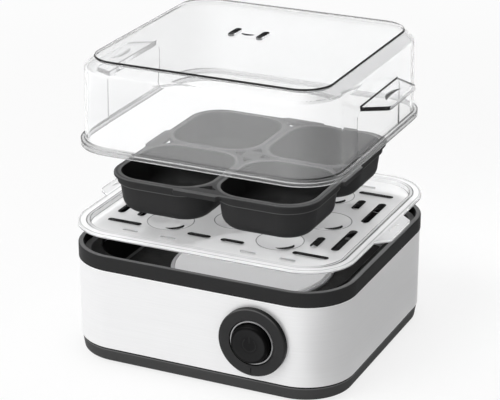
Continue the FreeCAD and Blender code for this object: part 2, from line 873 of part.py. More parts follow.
def power_switch():
    """The latching switch behind the button, with two blades."""
    half_width = 10.0
    blade_half = 2.5
    pin_room = 0.4
    body = block((control_x - half_width, control_x + half_width), (switch_front, switch_back),
                 (control_z - switch_half_height, control_z + switch_half_height))
    pin_bore = lengthwise(plunger_radius + pin_room, switch_front - past, switch_back - 2 * past,
                          control_x, control_z)
    body = body.cut(pin_bore)
    blades = []
    for side in (-1, 1):
        x = control_x + side * switch_blade_x
        blades.append(block((x - blade_half_thick, x + blade_half_thick), (switch_back, switch_blade_end),
                            (control_z - blade_half, control_z + blade_half)))
    return body.fuse(blades).removeSplitter()


def switch_plunger():
    """The switch's own pin, which the stem pushes."""
    return lengthwise(plunger_radius, stem_end + face_gap, switch_front + plunger_inside,
                      control_x, control_z)


def pilot_lamp():
    """The small lamp that lights the ring."""
    ahead = 3.6
    behind = 2.2
    return lengthwise(lamp_radius, barrel_end - ahead, barrel_end + behind, control_x, control_z + lamp_rise)


def terminal_block():
    """The block where the mains wires end, with clamp openings and screw wells."""
    floor_top = cover_bottom + cover_floor
    half_width = 17.0
    depth = 14.0
    height = 13.5
    bore_radius = 2.0
    well_radius = 2.2
    well_depth = 3.0
    back = block_front + depth
    top = floor_top + height
    body = block((block_x - half_width, block_x + half_width), (block_front, back), (floor_top, top))
    cuts = []
    for number in (-1, 0, 1):
        x = block_x + number * block_pitch
        cuts.append(lengthwise(bore_radius, block_front + past, back + past, x, wire_level))
        cuts.append(upright(well_radius, top - well_depth, top + past, x, block_front + depth / 2))
    return body.cut(cuts)


def cord_inlet_bush():
    """The bush in the back wall that the mains cord goes through."""
    inside_length = 6.5
    inside = back_face - inside_length
    flange_bevel = 0.8
    nose_bevel = 0.6
    nose_taper = 1.4
    outside = back_face + face_gap
    flange_end = outside + inlet_flange_thick
    nose_end = outside + inlet_nose
    profile = [(inlet_bore_radius, inside), (inlet_barrel_radius, inside),
               (inlet_barrel_radius, outside), (inlet_flange_radius, outside),
               (inlet_flange_radius, flange_end - flange_bevel),
               (inlet_flange_radius - flange_bevel, flange_end),
               (inlet_nose_radius + nose_taper, flange_end), (inlet_nose_radius, nose_end - nose_bevel),
               (inlet_nose_radius - nose_bevel, nose_end), (inlet_bore_radius, nose_end)]
    return turned(profile, inlet_x, inlet_z)


def cord_inlet_nut():
    """The nut that holds the inlet bush from inside."""
    thick = 3.0
    outer = 11.0
    outside = back_face - band_sheet - face_gap
    inner = inlet_barrel_radius + thread_gap
    profile = [(inner, outside - thick), (outer, outside - thick), (outer, outside), (inner, outside)]
    return turned(profile, inlet_x, inlet_z)


def internal_wires():
    """Insulated wires from the terminal block to the element, the switch and the thermostat."""
    wire_radius = 1.0
    bend = 8.0
    start = block_front - 0.2
    pin_under = 20.8
    left_end = element_end(1)
    right_end = element_end(-1)
    blade_under = thermostat_blade_bottom - 1.2
    blade_end = switch_blade_end + 0.6
    switch_left = control_x - switch_blade_x
    switch_right = control_x + switch_blade_x
    rise_y = -46.0
    routes = [
        [(block_x - block_pitch, start, wire_level), (block_x - block_pitch, 46.0, wire_level),
         (left_end[0], left_end[1] + 1, wire_level), (left_end[0], left_end[1], pin_under)],
        [(block_x, start, wire_level), (block_x, 32.0, wire_level), (switch_left, -14.0, wire_level),
         (switch_left, rise_y, control_z), (switch_left, blade_end, control_z)],
        [(switch_right, blade_end, control_z), (switch_right, rise_y, control_z),
         (control_x, -20.0, wire_level), (thermostat_blade_x, 20.0, wire_level),
         (thermostat_blade_x, thermostat_y, blade_under)],
        [(-thermostat_blade_x, thermostat_y, blade_under), (-thermostat_blade_x, thermostat_y + 2, 15.0),
         (right_end[0] - 4, right_end[1] - 2, 14.0), (right_end[0], right_end[1], pin_under)],
    ]
    wires = []
    for route in routes:
        path = bent_path([Vector(*point) for point in route], bend)
        wires.append(tube_along(path, wire_radius))
    return Part.makeCompound(wires)


def side_tab(side, root_x, reach, root, tip, low, high, tip_round):
    """A flat tab that stands out to one side and narrows to a tip with round corners."""
    tip_x = side * (root_x + reach)
    points = [(side * root_x, -root / 2), (tip_x, -tip / 2), (tip_x, tip / 2), (side * root_x, root / 2)]
    tab = plate_of(points, low, high)
    tips = [edge for edge in tab.Edges
            if abs(edge.BoundBox.XMin - tip_x) < 1e-4 and abs(edge.BoundBox.XMax - tip_x) < 1e-4
            and edge.BoundBox.ZLength > past]
    return tab.makeFillet(tip_round, tips)


def finger_mark(side, x, length, thick, depth, top):
    """A crescent pressed into the top of a side tab."""
    mark = crescent(0, 0, length, thick, top - depth, top + past)
    mark.rotate(Vector(0, 0, 0), Vector(0, 0, 1), -side * 90)
    mark.translate(Vector(side * x, 0, 0))
    return mark


def rack_tab(side):
    """One of the rack's side tabs, with a finger mark."""
    overlap = 3.0
    tab = side_tab(side, base_width / 2 - overlap, rack_tab_reach + overlap, rack_tab_root, rack_tab_tip,
                   rack_bottom, rack_top, rack_tab_round)
    mark_x = base_width / 2 + rack_mark_reach
    return tab.cut(finger_mark(side, mark_x, rack_mark_length, rack_mark_thick, rack_mark_depth, rack_top))


def rack_slots():
    """Every steam slot of the rack, the same in all four quarters."""
    low = rack_plate_bottom - past
    high = rack_top + past
    slots = []
    for sx in (-1, 1):
        for sy in (-1, 1):
            for x, span in ((side_slot_x, side_slot_span), (inner_slot_x, inner_slot_span)):
                y_range = sorted((sy * span[0], sy * span[1]))
                slots.append(slot((sx * x - slot_width / 2, sx * x + slot_width / 2), y_range, low, high))
            rows = [(end_slot_y, span, end_slot_width) for span in end_slot_spans]
            rows += [(thin_slot_y, span, thin_slot_width) for span in thin_slot_spans]
            for y, span, width in rows:
                x_range = sorted((sx * span[0], sx * span[1]))
                slots.append(slot(x_range, (sy * y - width / 2, sy * y + width / 2), low, high))
    return slots


def egg_rack():
    """The clear rack: a flange, a recessed plate with eight dished seats, steam slots and two tabs."""
    step_outer = grown(rack_outline, -rack_flange + rack_sheet)
    step_inner = grown(rack_outline, -rack_flange)
    rack = prism(rack_outline, rack_bottom, rack_top)
    edge_round = 0.7
    rack = rack.makeFillet(edge_round, edges_at(rack, rack_top))
    rack = rack.fuse([prism(step_outer, rack_plate_bottom, rack_bottom), rack_tab(-1), rack_tab(1)])
    rack = rack.removeSplitter()
    rack = rack.cut(prism(step_inner, rack_plate_top, rack_top + past))
    ball = (seat_radius ** 2 + seat_depth ** 2) / (2 * seat_depth)
    low = rack_plate_bottom - 2 * seat_depth
    dishes = []
    hollows = []
    for x, y in seat_places:
        centre = Vector(x, y, rack_plate_top + ball - seat_depth)
        under = upright(seat_radius + rack_sheet, low, rack_plate_bottom + past / 2, x, y)
        dishes.append(Part.makeSphere(ball + rack_sheet, centre).common(under))
        hollows.append(Part.makeSphere(ball, centre))
        drain = crescent(x, y - seat_radius + drain_inset, drain_length, drain_thick, low, rack_top)
        drain.rotate(Vector(x, y, 0), Vector(0, 0, 1), drain_turn)
        hollows.append(drain)
    rack = rack.fuse(dishes).removeSplitter()
    return rack.cut(hollows + rack_slots())


def cup_places():
    """The middles of the four cups."""
    return corners_of((cup_size()[0] + cup_web) / 2, (cup_size()[1] + cup_web) / 2)


def cup_size():
    """Width and depth of one cup's opening."""
    return ((tray_width - 2 * tray_margin - cup_web) / 2, (tray_depth - 2 * tray_margin - cup_web) / 2)


def cup_form(wall, bottom, top, rounding, centre):
    """One cup as a solid, grown by a wall, with a round bottom edge."""
    width, depth = cup_size()
    opening = grown((width, depth, cup_corner), wall)
    form = tapered(grown(opening, -cup_draft), bottom, opening, top, centre)
    return form.makeFillet(rounding, edges_at(form, bottom))


def tray_holes():
    """Triangular holes at the middle of each side and round the middle of the tray."""
    low = tray_top - tray_rim - past
    high = tray_top + past
    edge = 4.0
    half_base = 7.0
    inner_half_base = 4.5
    inner_tip = 15.0
    holes = []
    for side in (-1, 1):
        for half, turned_over in ((tray_depth / 2, False), (tray_width / 2, True)):
            base = half - tray_margin - edge
            outer = [(-half_base, side * base), (half_base, side * base), (0, side * (base - half_base))]
            inner = [(0, side * inner_tip), (inner_half_base, side * half_base),
                     (-inner_half_base, side * half_base)]
            for points in (outer, inner):
                if turned_over:
                    points = [(y, x) for x, y in points]
                holes.append(plate_of(points, low, high))
    return holes


def tray_tongues():
    """A thick tongue on each side's web, set towards one of its two cups."""
    low = tray_top - tongue_height
    high = tray_top - slip_gap
    far = tongue_start
    near = tongue_start - tongue_length
    tongues = []
    for side in (-1, 1):
        for half, turned_over in ((tray_depth / 2, False), (tray_width / 2, True)):
            inner = half - tray_rim
            outer = half + tongue_reach
            corners = [(far, inner), (far - tongue_slant, outer), (near + tongue_slant, outer), (near, inner)]
            points = [(side * along, side * across) for along, across in corners]
            if turned_over:
                points = [(across, -along) for along, across in points]
            tongues.append(plate_of(points, low, high))
    return tongues


def poaching_tray():
    """The black tray with four cups, a flat web between them and tongues to lift it by."""
    rim = prism((tray_width, tray_depth, tray_corner), tray_top - tray_rim, tray_top)
    rim_round = 0.9
    rim = rim.makeFillet(rim_round, edges_at(rim, tray_top))
    forms = []
    hollows = []
    width, depth = cup_size()
    for centre in cup_places():
        forms.append(cup_form(cup_wall, tray_bottom, tray_top - tray_rim / 2, cup_round + cup_wall, centre))
        collar = grown((width, depth, cup_corner), cup_wall + cup_collar_step)
        forms.append(prism(collar, tray_top - cup_collar_height, tray_top - tray_rim / 2, centre))
        hollows.append(cup_form(0.0, tray_bottom + cup_wall, tray_top + past, cup_round, centre))
    tray = rim.fuse(forms + tray_tongues()).removeSplitter()
    return tray.cut(hollows + tray_holes())


def lid_form(inset, bottom):
    """The lid as a solid: upright wall with a slight draft, a bevel and a flat top."""
    wall = grown(lid_outline, -lid_flange_step - inset)
    shoulder = grown(wall, -lid_draft)
    panel = grown(shoulder, -lid_bevel_width)
    inner_drop = 0.45
    shoulder_z = lid_top - lid_bevel_height - inset * inner_drop
    body = tapered(wall, bottom, shoulder, shoulder_z)
    bevel = tapered(shoulder, shoulder_z, panel, lid_top - inset)
    form = body.fuse(bevel).removeSplitter()
    return form.makeFillet(lid_shoulder_round - inset, edges_at(form, shoulder_z))


def lid_tab(side):
    """One of the lid's side handles, a flat tab with a finger mark."""
    overlap = 0.5
    wall_x = lid_width / 2 - lid_flange_step - lid_draft - overlap
    low = lid_bottom + lid_tab_height
    high = low + lid_tab_thick
    tab = side_tab(side, wall_x, lid_tab_reach, lid_tab_root, lid_tab_tip, low, high, lid_tab_round)
    mark_x = wall_x + lid_mark_reach
    return tab.cut(finger_mark(side, mark_x, lid_mark_length, lid_mark_thick, lid_mark_depth, high))


def lid():
    """The clear lid: flange, walls, bevelled top, two handles and two steam slots."""
    flange_top = lid_bottom + lid_flange_height
    shell = lid_form(0.0, lid_bottom).fuse(prism(lid_outline, lid_bottom, flange_top)).removeSplitter()
    panel = grown(lid_outline, -lid_flange_step - lid_draft - lid_bevel_width - lid_panel_inset)
    shell = shell.fuse(prism(panel, lid_top - past, lid_top + lid_panel_rise)).removeSplitter()
    shell = shell.cut(prism(grown(lid_outline, -lid_wall), lid_bottom - past, flange_top - lid_wall))
    shell = shell.cut(lid_form(lid_wall, lid_bottom - past))
    tab_low = lid_bottom + lid_tab_height
    recess_x = lid_width / 2 - lid_flange_step - lid_draft * lid_tab_height / lid_height - lid_recess_depth
    half = lid_recess_length / 2
    pockets = []
    for side in (-1, 1):
        across = sorted((side * recess_x, side * lid_width / 2))
        pocket = block(across, (-half, half), (flange_top, tab_low))
        ends = [edge for edge in edges_at(pocket, tab_low) if edge.BoundBox.XLength > past]
        pockets.append(pocket.makeFillet(lid_recess_round, ends))
    shell = shell.cut(pockets)
    shell = shell.fuse([lid_tab(-1), lid_tab(1)]).removeSplitter()
    cuts = []
    low = lid_top - lid_wall - past
    high = lid_top + lid_panel_rise + past
    y_range = (steam_slot_y - steam_slot_length / 2, steam_slot_y + steam_slot_length / 2)
    for side in (-1, 1):
        x = steam_middle_x + side * steam_slot_x
        cuts.append(slot((x - steam_slot_width / 2, x + steam_slot_width / 2), y_range, low, high))
    mark_length = 10.0
    mark_thick = 3.2
    mark_y = steam_slot_y - mark_thick / 2
    cuts.append(crescent(steam_middle_x, mark_y, mark_length, mark_thick, lid_top, high))
    return shell.cut(cuts)


makers = [steel_band, top_collar, tub_gasket, water_tub, tub_screws, plate_seal, heating_plate,
          heating_element, element_clamp, clamp_screw, thermostat, thermal_fuse, fuse_clip, bottom_cover,
          cover_screws, rubber_feet, button_bezel, bezel_nut, light_ring, power_button, button_spring,
          button_carrier, switch_bracket, power_switch, switch_plunger, pilot_lamp, terminal_block,
          cord_inlet_bush, cord_inlet_nut, internal_wires, egg_rack, poaching_tray, lid]

os.makedirs("parts", exist_ok=True)
for maker in makers:
    shape = maker()
    solids = len(shape.Solids)
    print(maker.__name__, "solids", solids, "valid", shape.isValid(), "volume", round(shape.Volume, 1))
    shape.exportStep("parts/" + maker.__name__ + ".step")
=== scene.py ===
import json
import logging
import math
from dataclasses import dataclass
from enum import Enum
from functools import cached_property, partial, reduce
from typing import Sequence

import bmesh
import bpy
from mathutils import Matrix, Vector


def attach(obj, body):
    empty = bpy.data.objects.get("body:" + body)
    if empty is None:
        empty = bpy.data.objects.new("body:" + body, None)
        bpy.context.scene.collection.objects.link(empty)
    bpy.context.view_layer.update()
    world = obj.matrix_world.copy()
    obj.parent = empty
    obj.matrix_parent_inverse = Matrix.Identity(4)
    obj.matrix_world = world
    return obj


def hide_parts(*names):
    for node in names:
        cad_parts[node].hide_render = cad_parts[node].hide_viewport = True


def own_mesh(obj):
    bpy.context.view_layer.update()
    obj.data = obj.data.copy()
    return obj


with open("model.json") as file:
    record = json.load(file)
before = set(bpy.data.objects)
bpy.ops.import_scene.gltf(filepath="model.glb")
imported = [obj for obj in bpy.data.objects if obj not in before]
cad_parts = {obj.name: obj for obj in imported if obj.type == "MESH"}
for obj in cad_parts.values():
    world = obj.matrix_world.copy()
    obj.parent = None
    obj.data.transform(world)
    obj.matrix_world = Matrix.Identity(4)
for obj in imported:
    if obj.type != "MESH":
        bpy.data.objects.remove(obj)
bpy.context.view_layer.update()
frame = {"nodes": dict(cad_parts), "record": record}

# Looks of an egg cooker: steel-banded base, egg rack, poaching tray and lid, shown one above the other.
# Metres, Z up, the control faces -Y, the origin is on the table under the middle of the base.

Colour = tuple[float, float, float]
Point = tuple[float, float, float]
Pair = tuple[float, float]
Outline = tuple[float, float, float]
Socket = bpy.types.NodeSocket

MM = 0.001
WHITE = (1.0, 1.0, 1.0)
NUMBER = "NodeSocketFloat"
COLOUR = "NodeSocketColor"
VECTOR = "NodeSocketVector"
BUMP_DEPTH = 0.2 * MM
BUTTON_MIDDLE = (46.0, 43.0)
DISH_RADIUS = 11.6

log = logging.getLogger("egg_cooker")


class Body(Enum):
    """The rigid bodies that added pieces ride on."""

    BASE = "base"
    BUTTON = "button"


class Ray(Enum):
    """Kinds of ray that a shader may answer to."""

    CAMERA = "Is Camera Ray"
    GLOSSY = "Is Glossy Ray"
    TRANSMISSION = "Is Transmission Ray"
    SHADOW = "Is Shadow Ray"


class Tree:
    """A node tree with short ways to add and join nodes."""

    def __init__(self, tree: bpy.types.NodeTree) -> None:
        """Wraps a tree.

        Args:
            tree: The tree of a material, a world or a group.
        """
        self.tree = tree

    def add(self, kind: str, values: dict | None = None, **settings: object) -> bpy.types.Node:
        """Adds a node.

        Args:
            kind: Blender's node type.
            values: Socket name or number to a constant, or to an output socket to join.
            settings: Properties of the node itself.

        Returns:
            The new node.
        """
        node = self.tree.nodes.new(kind)
        for name, value in settings.items():
            setattr(node, name, value)
        for key, value in (values or {}).items():
            self.put(value, node.inputs[key])
        return node

    def put(self, value: object, target: Socket) -> None:
        """Sets an input to a constant, or joins an output to it.

        Args:
            value: A constant or an output socket; a colour has no alpha and becomes opaque.
            target: The input.
        """
        if isinstance(value, Socket):
            self.tree.links.new(value, target)
        elif target.type == "RGBA":
            target.default_value = (*value, 1.0)
        else:
            target.default_value = value

    def math(self, operation: str, first: object, second: object = 0.0, clamp: bool = False) -> Socket:
        """A Math node.

        Args:
            operation: Blender's name of the operation.
            first: A number or an output socket.
            second: A number or an output socket.
            clamp: Keep the result from 0 to 1.

        Returns:
            The result's socket.
        """
        node = self.add("ShaderNodeMath", {0: first, 1: second}, operation=operation, use_clamp=clamp)
        return node.outputs[0]

    def mix(self, factor: object, first: object, second: object, blend: str = "MIX") -> Socket:
        """A colour Mix node.

        Args:
            factor: A number or an output socket.
            first: The colour at 0.
            second: The colour at 1.
            blend: Blender's name of the blend.

        Returns:
            The result's socket.
        """
        node = self.add("ShaderNodeMix", {0: factor, 6: first, 7: second}, data_type="RGBA", blend_type=blend)
        return node.outputs[2]

    def span(self, value: object, low: float, high: float, out_low: float = 0.0,
             out_high: float = 1.0) -> Socket:
        """Maps a range smoothly onto another.

        Args:
            value: A number or an output socket.
            low: Where the range starts.
            high: Where it ends.
            out_low: The result at the start.
            out_high: The result at the end.

        Returns:
            The result's socket.
        """
        node = self.add("ShaderNodeMapRange", {0: value, 1: low, 2: high, 3: out_low, 4: out_high},
                        interpolation_type="SMOOTHSTEP")
        return node.outputs[0]

    def above(self, value: object, limit: float, soft: float = 0.1) -> Socket:
        """A mask that is 1 where the value is over a limit."""
        return self.span(value, limit - soft, limit + soft)

    def below(self, value: object, limit: float, soft: float = 0.1) -> Socket:
        """A mask that is 1 where the value is under a limit."""
        return self.span(value, limit - soft, limit + soft, 1.0, 0.0)

    def band(self, value: object, low: float, high: float, soft: float = 0.1) -> Socket:
        """A mask that is 1 where the value is between two limits."""
        return self.both(self.above(value, low, soft), self.below(value, high, soft))

    def near(self, value: object, middle: float, reach: Pair, soft: float = 0.1) -> Socket:
        """A mask that is 1 where the value is within a reach, from low to high, of a middle."""
        return self.band(value, middle + reach[0], middle + reach[1], soft)

    def both(self, *masks: object) -> Socket:
        """The product of masks or numbers."""
        return reduce(partial(self.math, "MULTIPLY"), masks)

    def either(self, *masks: object) -> Socket:
        """The greatest of masks or numbers."""
        return reduce(partial(self.math, "MAXIMUM"), masks)

    def size(self, value: object) -> Socket:
        """The absolute value."""
        return self.math("ABSOLUTE", value)

    def reach(self, first: object, second: object) -> Socket:
        """The distance that two lengths at right angles make."""
        return self.math("SQRT", self.math("ADD", self.both(first, first), self.both(second, second)))

    def noise(self, place: Socket, scale: object, detail: float, roughness: float = 0.5) -> Socket:
        """Noise from about 0 to 1."""
        values = {"Vector": place, "Scale": scale, "Detail": detail, "Roughness": roughness}
        return self.add("ShaderNodeTexNoise", values).outputs[0]

    def off(self, first: object, second: object, middle: Pair) -> tuple[Socket, Socket]:
        """Two lengths, measured from a middle."""
        return self.math("SUBTRACT", first, middle[0]), self.math("SUBTRACT", second, middle[1])

    def weigh(self, first: Socket, second: Socket, share: float) -> Socket:
        """The mean of two values, in which the first has this share."""
        return self.math("ADD", self.both(first, share), self.both(second, 1 - share))

    def split(self, vector: Socket) -> tuple[Socket, Socket, Socket]:
        """X, Y and Z of a vector."""
        node = self.add("ShaderNodeSeparateXYZ", {0: vector})
        return node.outputs[0], node.outputs[1], node.outputs[2]

    def place(self) -> tuple[Socket, Socket, Socket]:
        """X, Y and Z on the object.

        Returns:
            The three sockets, in millimetres.
        """
        metres = self.add("ShaderNodeTexCoord").outputs["Object"]
        point = self.add("ShaderNodeVectorMath", {0: metres, "Scale": 1 / MM}, operation="SCALE")
        return self.split(point.outputs[0])

    def facing(self) -> tuple[Socket, Socket, Socket]:
        """X, Y and Z of the way the surface faces."""
        return self.split(self.add("ShaderNodeNewGeometry").outputs["True Normal"])


@dataclass
class Effects:
    """Shader node groups that several finishes share, each built once."""

    broad_scale: float = 26.0
    fine_share: float = 0.6
    dust_scale: float = 60.0
    dust_level: Pair = (0.5, 1.0)
    dust_patches: Pair = (0.35, 0.75)
    edge_samples: int = 6
    long_scratch: Point = (14.0, 14.0, 4200.0)
    short_scratch: Point = (60.0, 60.0, 9000.0)
    long_share: float = 0.55

    def _start(self, name: str, inputs: Sequence[tuple[str, str, object]],
               outputs: Sequence[tuple[str, str]]) -> tuple[Tree, bpy.types.Node, bpy.types.Node]:
        """Makes an empty group.

        Args:
            name: The group's name.
            inputs: Name, socket type and default of each input.
            outputs: Name and socket type of each output.

        Returns:
            The tree, its input node and its output node.
        """
        group = bpy.data.node_groups.new(name, "ShaderNodeTree")
        for label, kind, default in inputs:
            socket = group.interface.new_socket(name=label, in_out="INPUT", socket_type=kind)
            socket.default_value = default
        for label, kind in outputs:
            group.interface.new_socket(name=label, in_out="OUTPUT", socket_type=kind)
        tree = Tree(group)
        return tree, tree.add("NodeGroupInput"), tree.add("NodeGroupOutput")

    def _shade(self, tree: Tree, given: bpy.types.Node, result: bpy.types.Node, pattern: Socket,
               gloss: Socket) -> None:
        """Makes a group's colour and roughness uneven.

        Args:
            tree: The group's tree.
            given: Its input node, which has Base, Tone, Roughness and Spread.
            result: Its output node, which has Colour and Roughness.
            pattern: What the colour follows, about 0.5 on average.
            gloss: What the roughness follows, about 0.5 on average.
        """
        shift = tree.both(tree.math("SUBTRACT", pattern, 0.5), 2.0)
        tone = tree.math("ADD", 1.0, tree.both(shift, given.outputs["Tone"]))
        grey = tree.add("ShaderNodeCombineColor", {0: tone, 1: tone, 2: tone}).outputs[0]
        tree.put(tree.mix(1.0, given.outputs["Base"], grey, "MULTIPLY"), result.inputs["Colour"])
        spread = tree.both(tree.math("SUBTRACT", gloss, 0.5), given.outputs["Spread"])
        tree.put(tree.math("ADD", given.outputs["Roughness"], spread, clamp=True), result.inputs["Roughness"])

    @cached_property
    def grain(self) -> bpy.types.NodeTree:
        """Fine moulded grain: uneven tone, uneven gloss and a height for bump.

        Returns:
            The group.
        """
        tree, given, result = self._start(
            "moulded_grain",
            [("Base", COLOUR, (0.5, 0.5, 0.5, 1.0)), ("Scale", NUMBER, 900.0), ("Tone", NUMBER, 0.1),
             ("Roughness", NUMBER, 0.5), ("Spread", NUMBER, 0.06)],
            [("Colour", COLOUR), ("Roughness", NUMBER), ("Height", NUMBER)])
        place = tree.add("ShaderNodeTexCoord").outputs["Object"]
        fine = tree.noise(place, given.outputs["Scale"], detail=3.0)
        broad = tree.noise(place, self.broad_scale, detail=4.0)
        self._shade(tree, given, result, tree.weigh(fine, broad, self.fine_share), broad)
        tree.put(fine, result.inputs["Height"])
        return tree.tree

    @cached_property
    def dust(self) -> bpy.types.NodeTree:
        """A thin uneven film of dust on faces that look up.

        Returns:
            The group.
        """
        tree, given, result = self._start(
            "dust_film",
            [("Base", COLOUR, (0.5, 0.5, 0.5, 1.0)), ("Dust", COLOUR, (0.6, 0.6, 0.58, 1.0)),
             ("Amount", NUMBER, 0.05)],
            [("Colour", COLOUR)])
        place = tree.add("ShaderNodeTexCoord").outputs["Object"]
        up = tree.span(tree.facing()[2], *self.dust_level)
        patches = tree.noise(place, self.dust_scale, detail=6.0, roughness=0.7)
        mask = tree.both(up, tree.span(patches, *self.dust_patches), given.outputs["Amount"])
        tree.put(tree.mix(mask, given.outputs["Base"], given.outputs["Dust"]), result.inputs["Colour"])
        return tree.tree

    @cached_property
    def soft_edges(self) -> bpy.types.NodeTree:
        """Normals that round every edge a little, as a mould does.

        Returns:
            The group.
        """
        tree, given, result = self._start("soft_edges", [("Radius", NUMBER, 0.4 * MM)], [("Normal", VECTOR)])
        bevel = tree.add("ShaderNodeBevel", {"Radius": given.outputs["Radius"]}, samples=self.edge_samples)
        tree.put(bevel.outputs[0], result.inputs["Normal"])
        return tree.tree

    @cached_property
    def brushing(self) -> bpy.types.NodeTree:
        """Long level scratches round a brushed sheet.

        Returns:
            The group.
        """
        tree, given, result = self._start(
            "brushing",
            [("Base", COLOUR, (0.8, 0.8, 0.8, 1.0)), ("Tone", NUMBER, 0.1),
             ("Roughness", NUMBER, 0.35), ("Spread", NUMBER, 0.2)],
            [("Colour", COLOUR), ("Roughness", NUMBER), ("Height", NUMBER)])
        place = tree.add("ShaderNodeTexCoord").outputs["Object"]
        long_way = tree.add("ShaderNodeMapping", {"Vector": place, "Scale": self.long_scratch}).outputs[0]
        short_way = tree.add("ShaderNodeMapping", {"Vector": place, "Scale": self.short_scratch}).outputs[0]
        broad = tree.noise(long_way, 1.0, detail=3.0)
        fine = tree.noise(short_way, 1.0, detail=2.0)
        mixed = tree.weigh(broad, fine, self.long_share)
        self._shade(tree, given, result, mixed, mixed)
        tree.put(mixed, result.inputs["Height"])
        return tree.tree

    @cached_property
    def outline(self) -> bpy.types.NodeTree:
        """How far a point lies outside an upright outline with round corners.

        Returns:
            The group.
        """
        tree, given, result = self._start(
            "outline_distance",
            [("X", NUMBER, 0.0), ("Y", NUMBER, 0.0), ("Half X", NUMBER, 100.0),
             ("Half Y", NUMBER, 100.0), ("Corner", NUMBER, 30.0)],
            [("Distance", NUMBER)])
        sides = []
        for axis in ("X", "Y"):
            flat = tree.math("SUBTRACT", given.outputs["Half " + axis], given.outputs["Corner"])
            sides.append(tree.math("SUBTRACT", tree.size(given.outputs[axis]), flat))
        out_x, out_y = (tree.math("MAXIMUM", side, 0.0) for side in sides)
        round_part = tree.reach(out_x, out_y)
        inner_part = tree.math("MINIMUM", tree.either(*sides), 0.0)
        whole = tree.math("ADD", round_part, inner_part)
        tree.put(tree.math("SUBTRACT", whole, given.outputs["Corner"]), result.inputs["Distance"])
        return tree.tree

    def distance(self, tree: Tree, x: object, y: object, half_x: float, half_y: float,
                 corner: float) -> Socket:
        """Places the outline group in a material.

        Args:
            tree: The material's tree.
            x: X from the outline's middle.
            y: Y from the outline's middle.
            half_x: Half the outline's width in millimetres.
            half_y: Half its depth in millimetres.
            corner: Its corner radius in millimetres.

        Returns:
            The distance in millimetres, below 0 inside the outline.
        """
        values = {"X": x, "Y": y, "Half X": half_x, "Half Y": half_y, "Corner": corner}
        return tree.add("ShaderNodeGroup", values, node_tree=self.outline).outputs["Distance"]


@dataclass(frozen=True)
class Finish:
    """What every finish has: the record's material slot, and a name of its own where a slot has two."""

    slot: str
    name: str = ""

    def title(self) -> str:
        """What the finish is called."""
        return self.name or self.slot

    def start(self) -> tuple[bpy.types.Material, Tree, bpy.types.Node]:
        """Makes a material with a Principled shader.

        Returns:
            The material, its tree and the shader.
        """
        material = bpy.data.materials.new(self.title())
        material.use_nodes = True
        tree = Tree(material.node_tree)
        return material, tree, material.node_tree.nodes["Principled BSDF"]

    def relief(self, tree: Tree, effects: Effects, height: Socket, strength: float,
               edge_round: float) -> Socket:
        """The normal of a bumped surface, with rounded edges if they have a radius.

        Args:
            tree: The material's tree.
            effects: The shared node groups.
            height: The bump's height.
            strength: The bump's strength.
            edge_round: The edges' radius in millimetres.

        Returns:
            The normal's socket.
        """
        bump = tree.add("ShaderNodeBump", {"Height": height, "Strength": strength, "Distance": BUMP_DEPTH})
        if edge_round > 0:
            edges = tree.add("ShaderNodeGroup", {"Radius": edge_round * MM}, node_tree=effects.soft_edges)
            tree.put(edges.outputs["Normal"], bump.inputs["Normal"])
        return bump.outputs[0]

    def build(self, effects: Effects) -> bpy.types.Material:
        """Makes the material; each kind of finish has its own."""
        raise NotImplementedError


@dataclass(frozen=True)
class Moulded(Finish):
    """Opaque moulded or coated material with fine grain, rounded edges and a little dust."""

    colour: Colour = (0.02, 0.02, 0.02)
    roughness: float = 0.45
    specular: float = 0.5
    metallic: float = 0.0
    grain_scale: float = 900.0
    grain_tone: float = 0.12
    gloss_spread: float = 0.08
    bump: float = 0.04
    edge_round: float = 0.0
    dust_amount: float = 0.015

    def tint(self, tree: Tree, effects: Effects) -> object:
        """The colour before grain and dust; a finish with more than one tone has its own.

        Args:
            tree: The material's tree.
            effects: The shared node groups.

        Returns:
            A colour or an output socket.
        """
        return self.colour

    def build(self, effects: Effects) -> bpy.types.Material:
        """Makes the material.

        Args:
            effects: The shared node groups.

        Returns:
            The material.
        """
        material, tree, shader = self.start()
        shader.inputs["Metallic"].default_value = self.metallic
        shader.inputs["Specular IOR Level"].default_value = self.specular
        values = {"Base": self.tint(tree, effects), "Scale": self.grain_scale, "Tone": self.grain_tone,
                  "Roughness": self.roughness, "Spread": self.gloss_spread}
        grain = tree.add("ShaderNodeGroup", values, node_tree=effects.grain)
        dust = tree.add("ShaderNodeGroup", {"Base": grain.outputs["Colour"], "Amount": self.dust_amount},
                        node_tree=effects.dust)
        tree.put(dust.outputs["Colour"], shader.inputs["Base Color"])
        tree.put(grain.outputs["Roughness"], shader.inputs["Roughness"])
        normal = self.relief(tree, effects, grain.outputs["Height"], self.bump, self.edge_round)
        tree.put(normal, shader.inputs["Normal"])
        return material


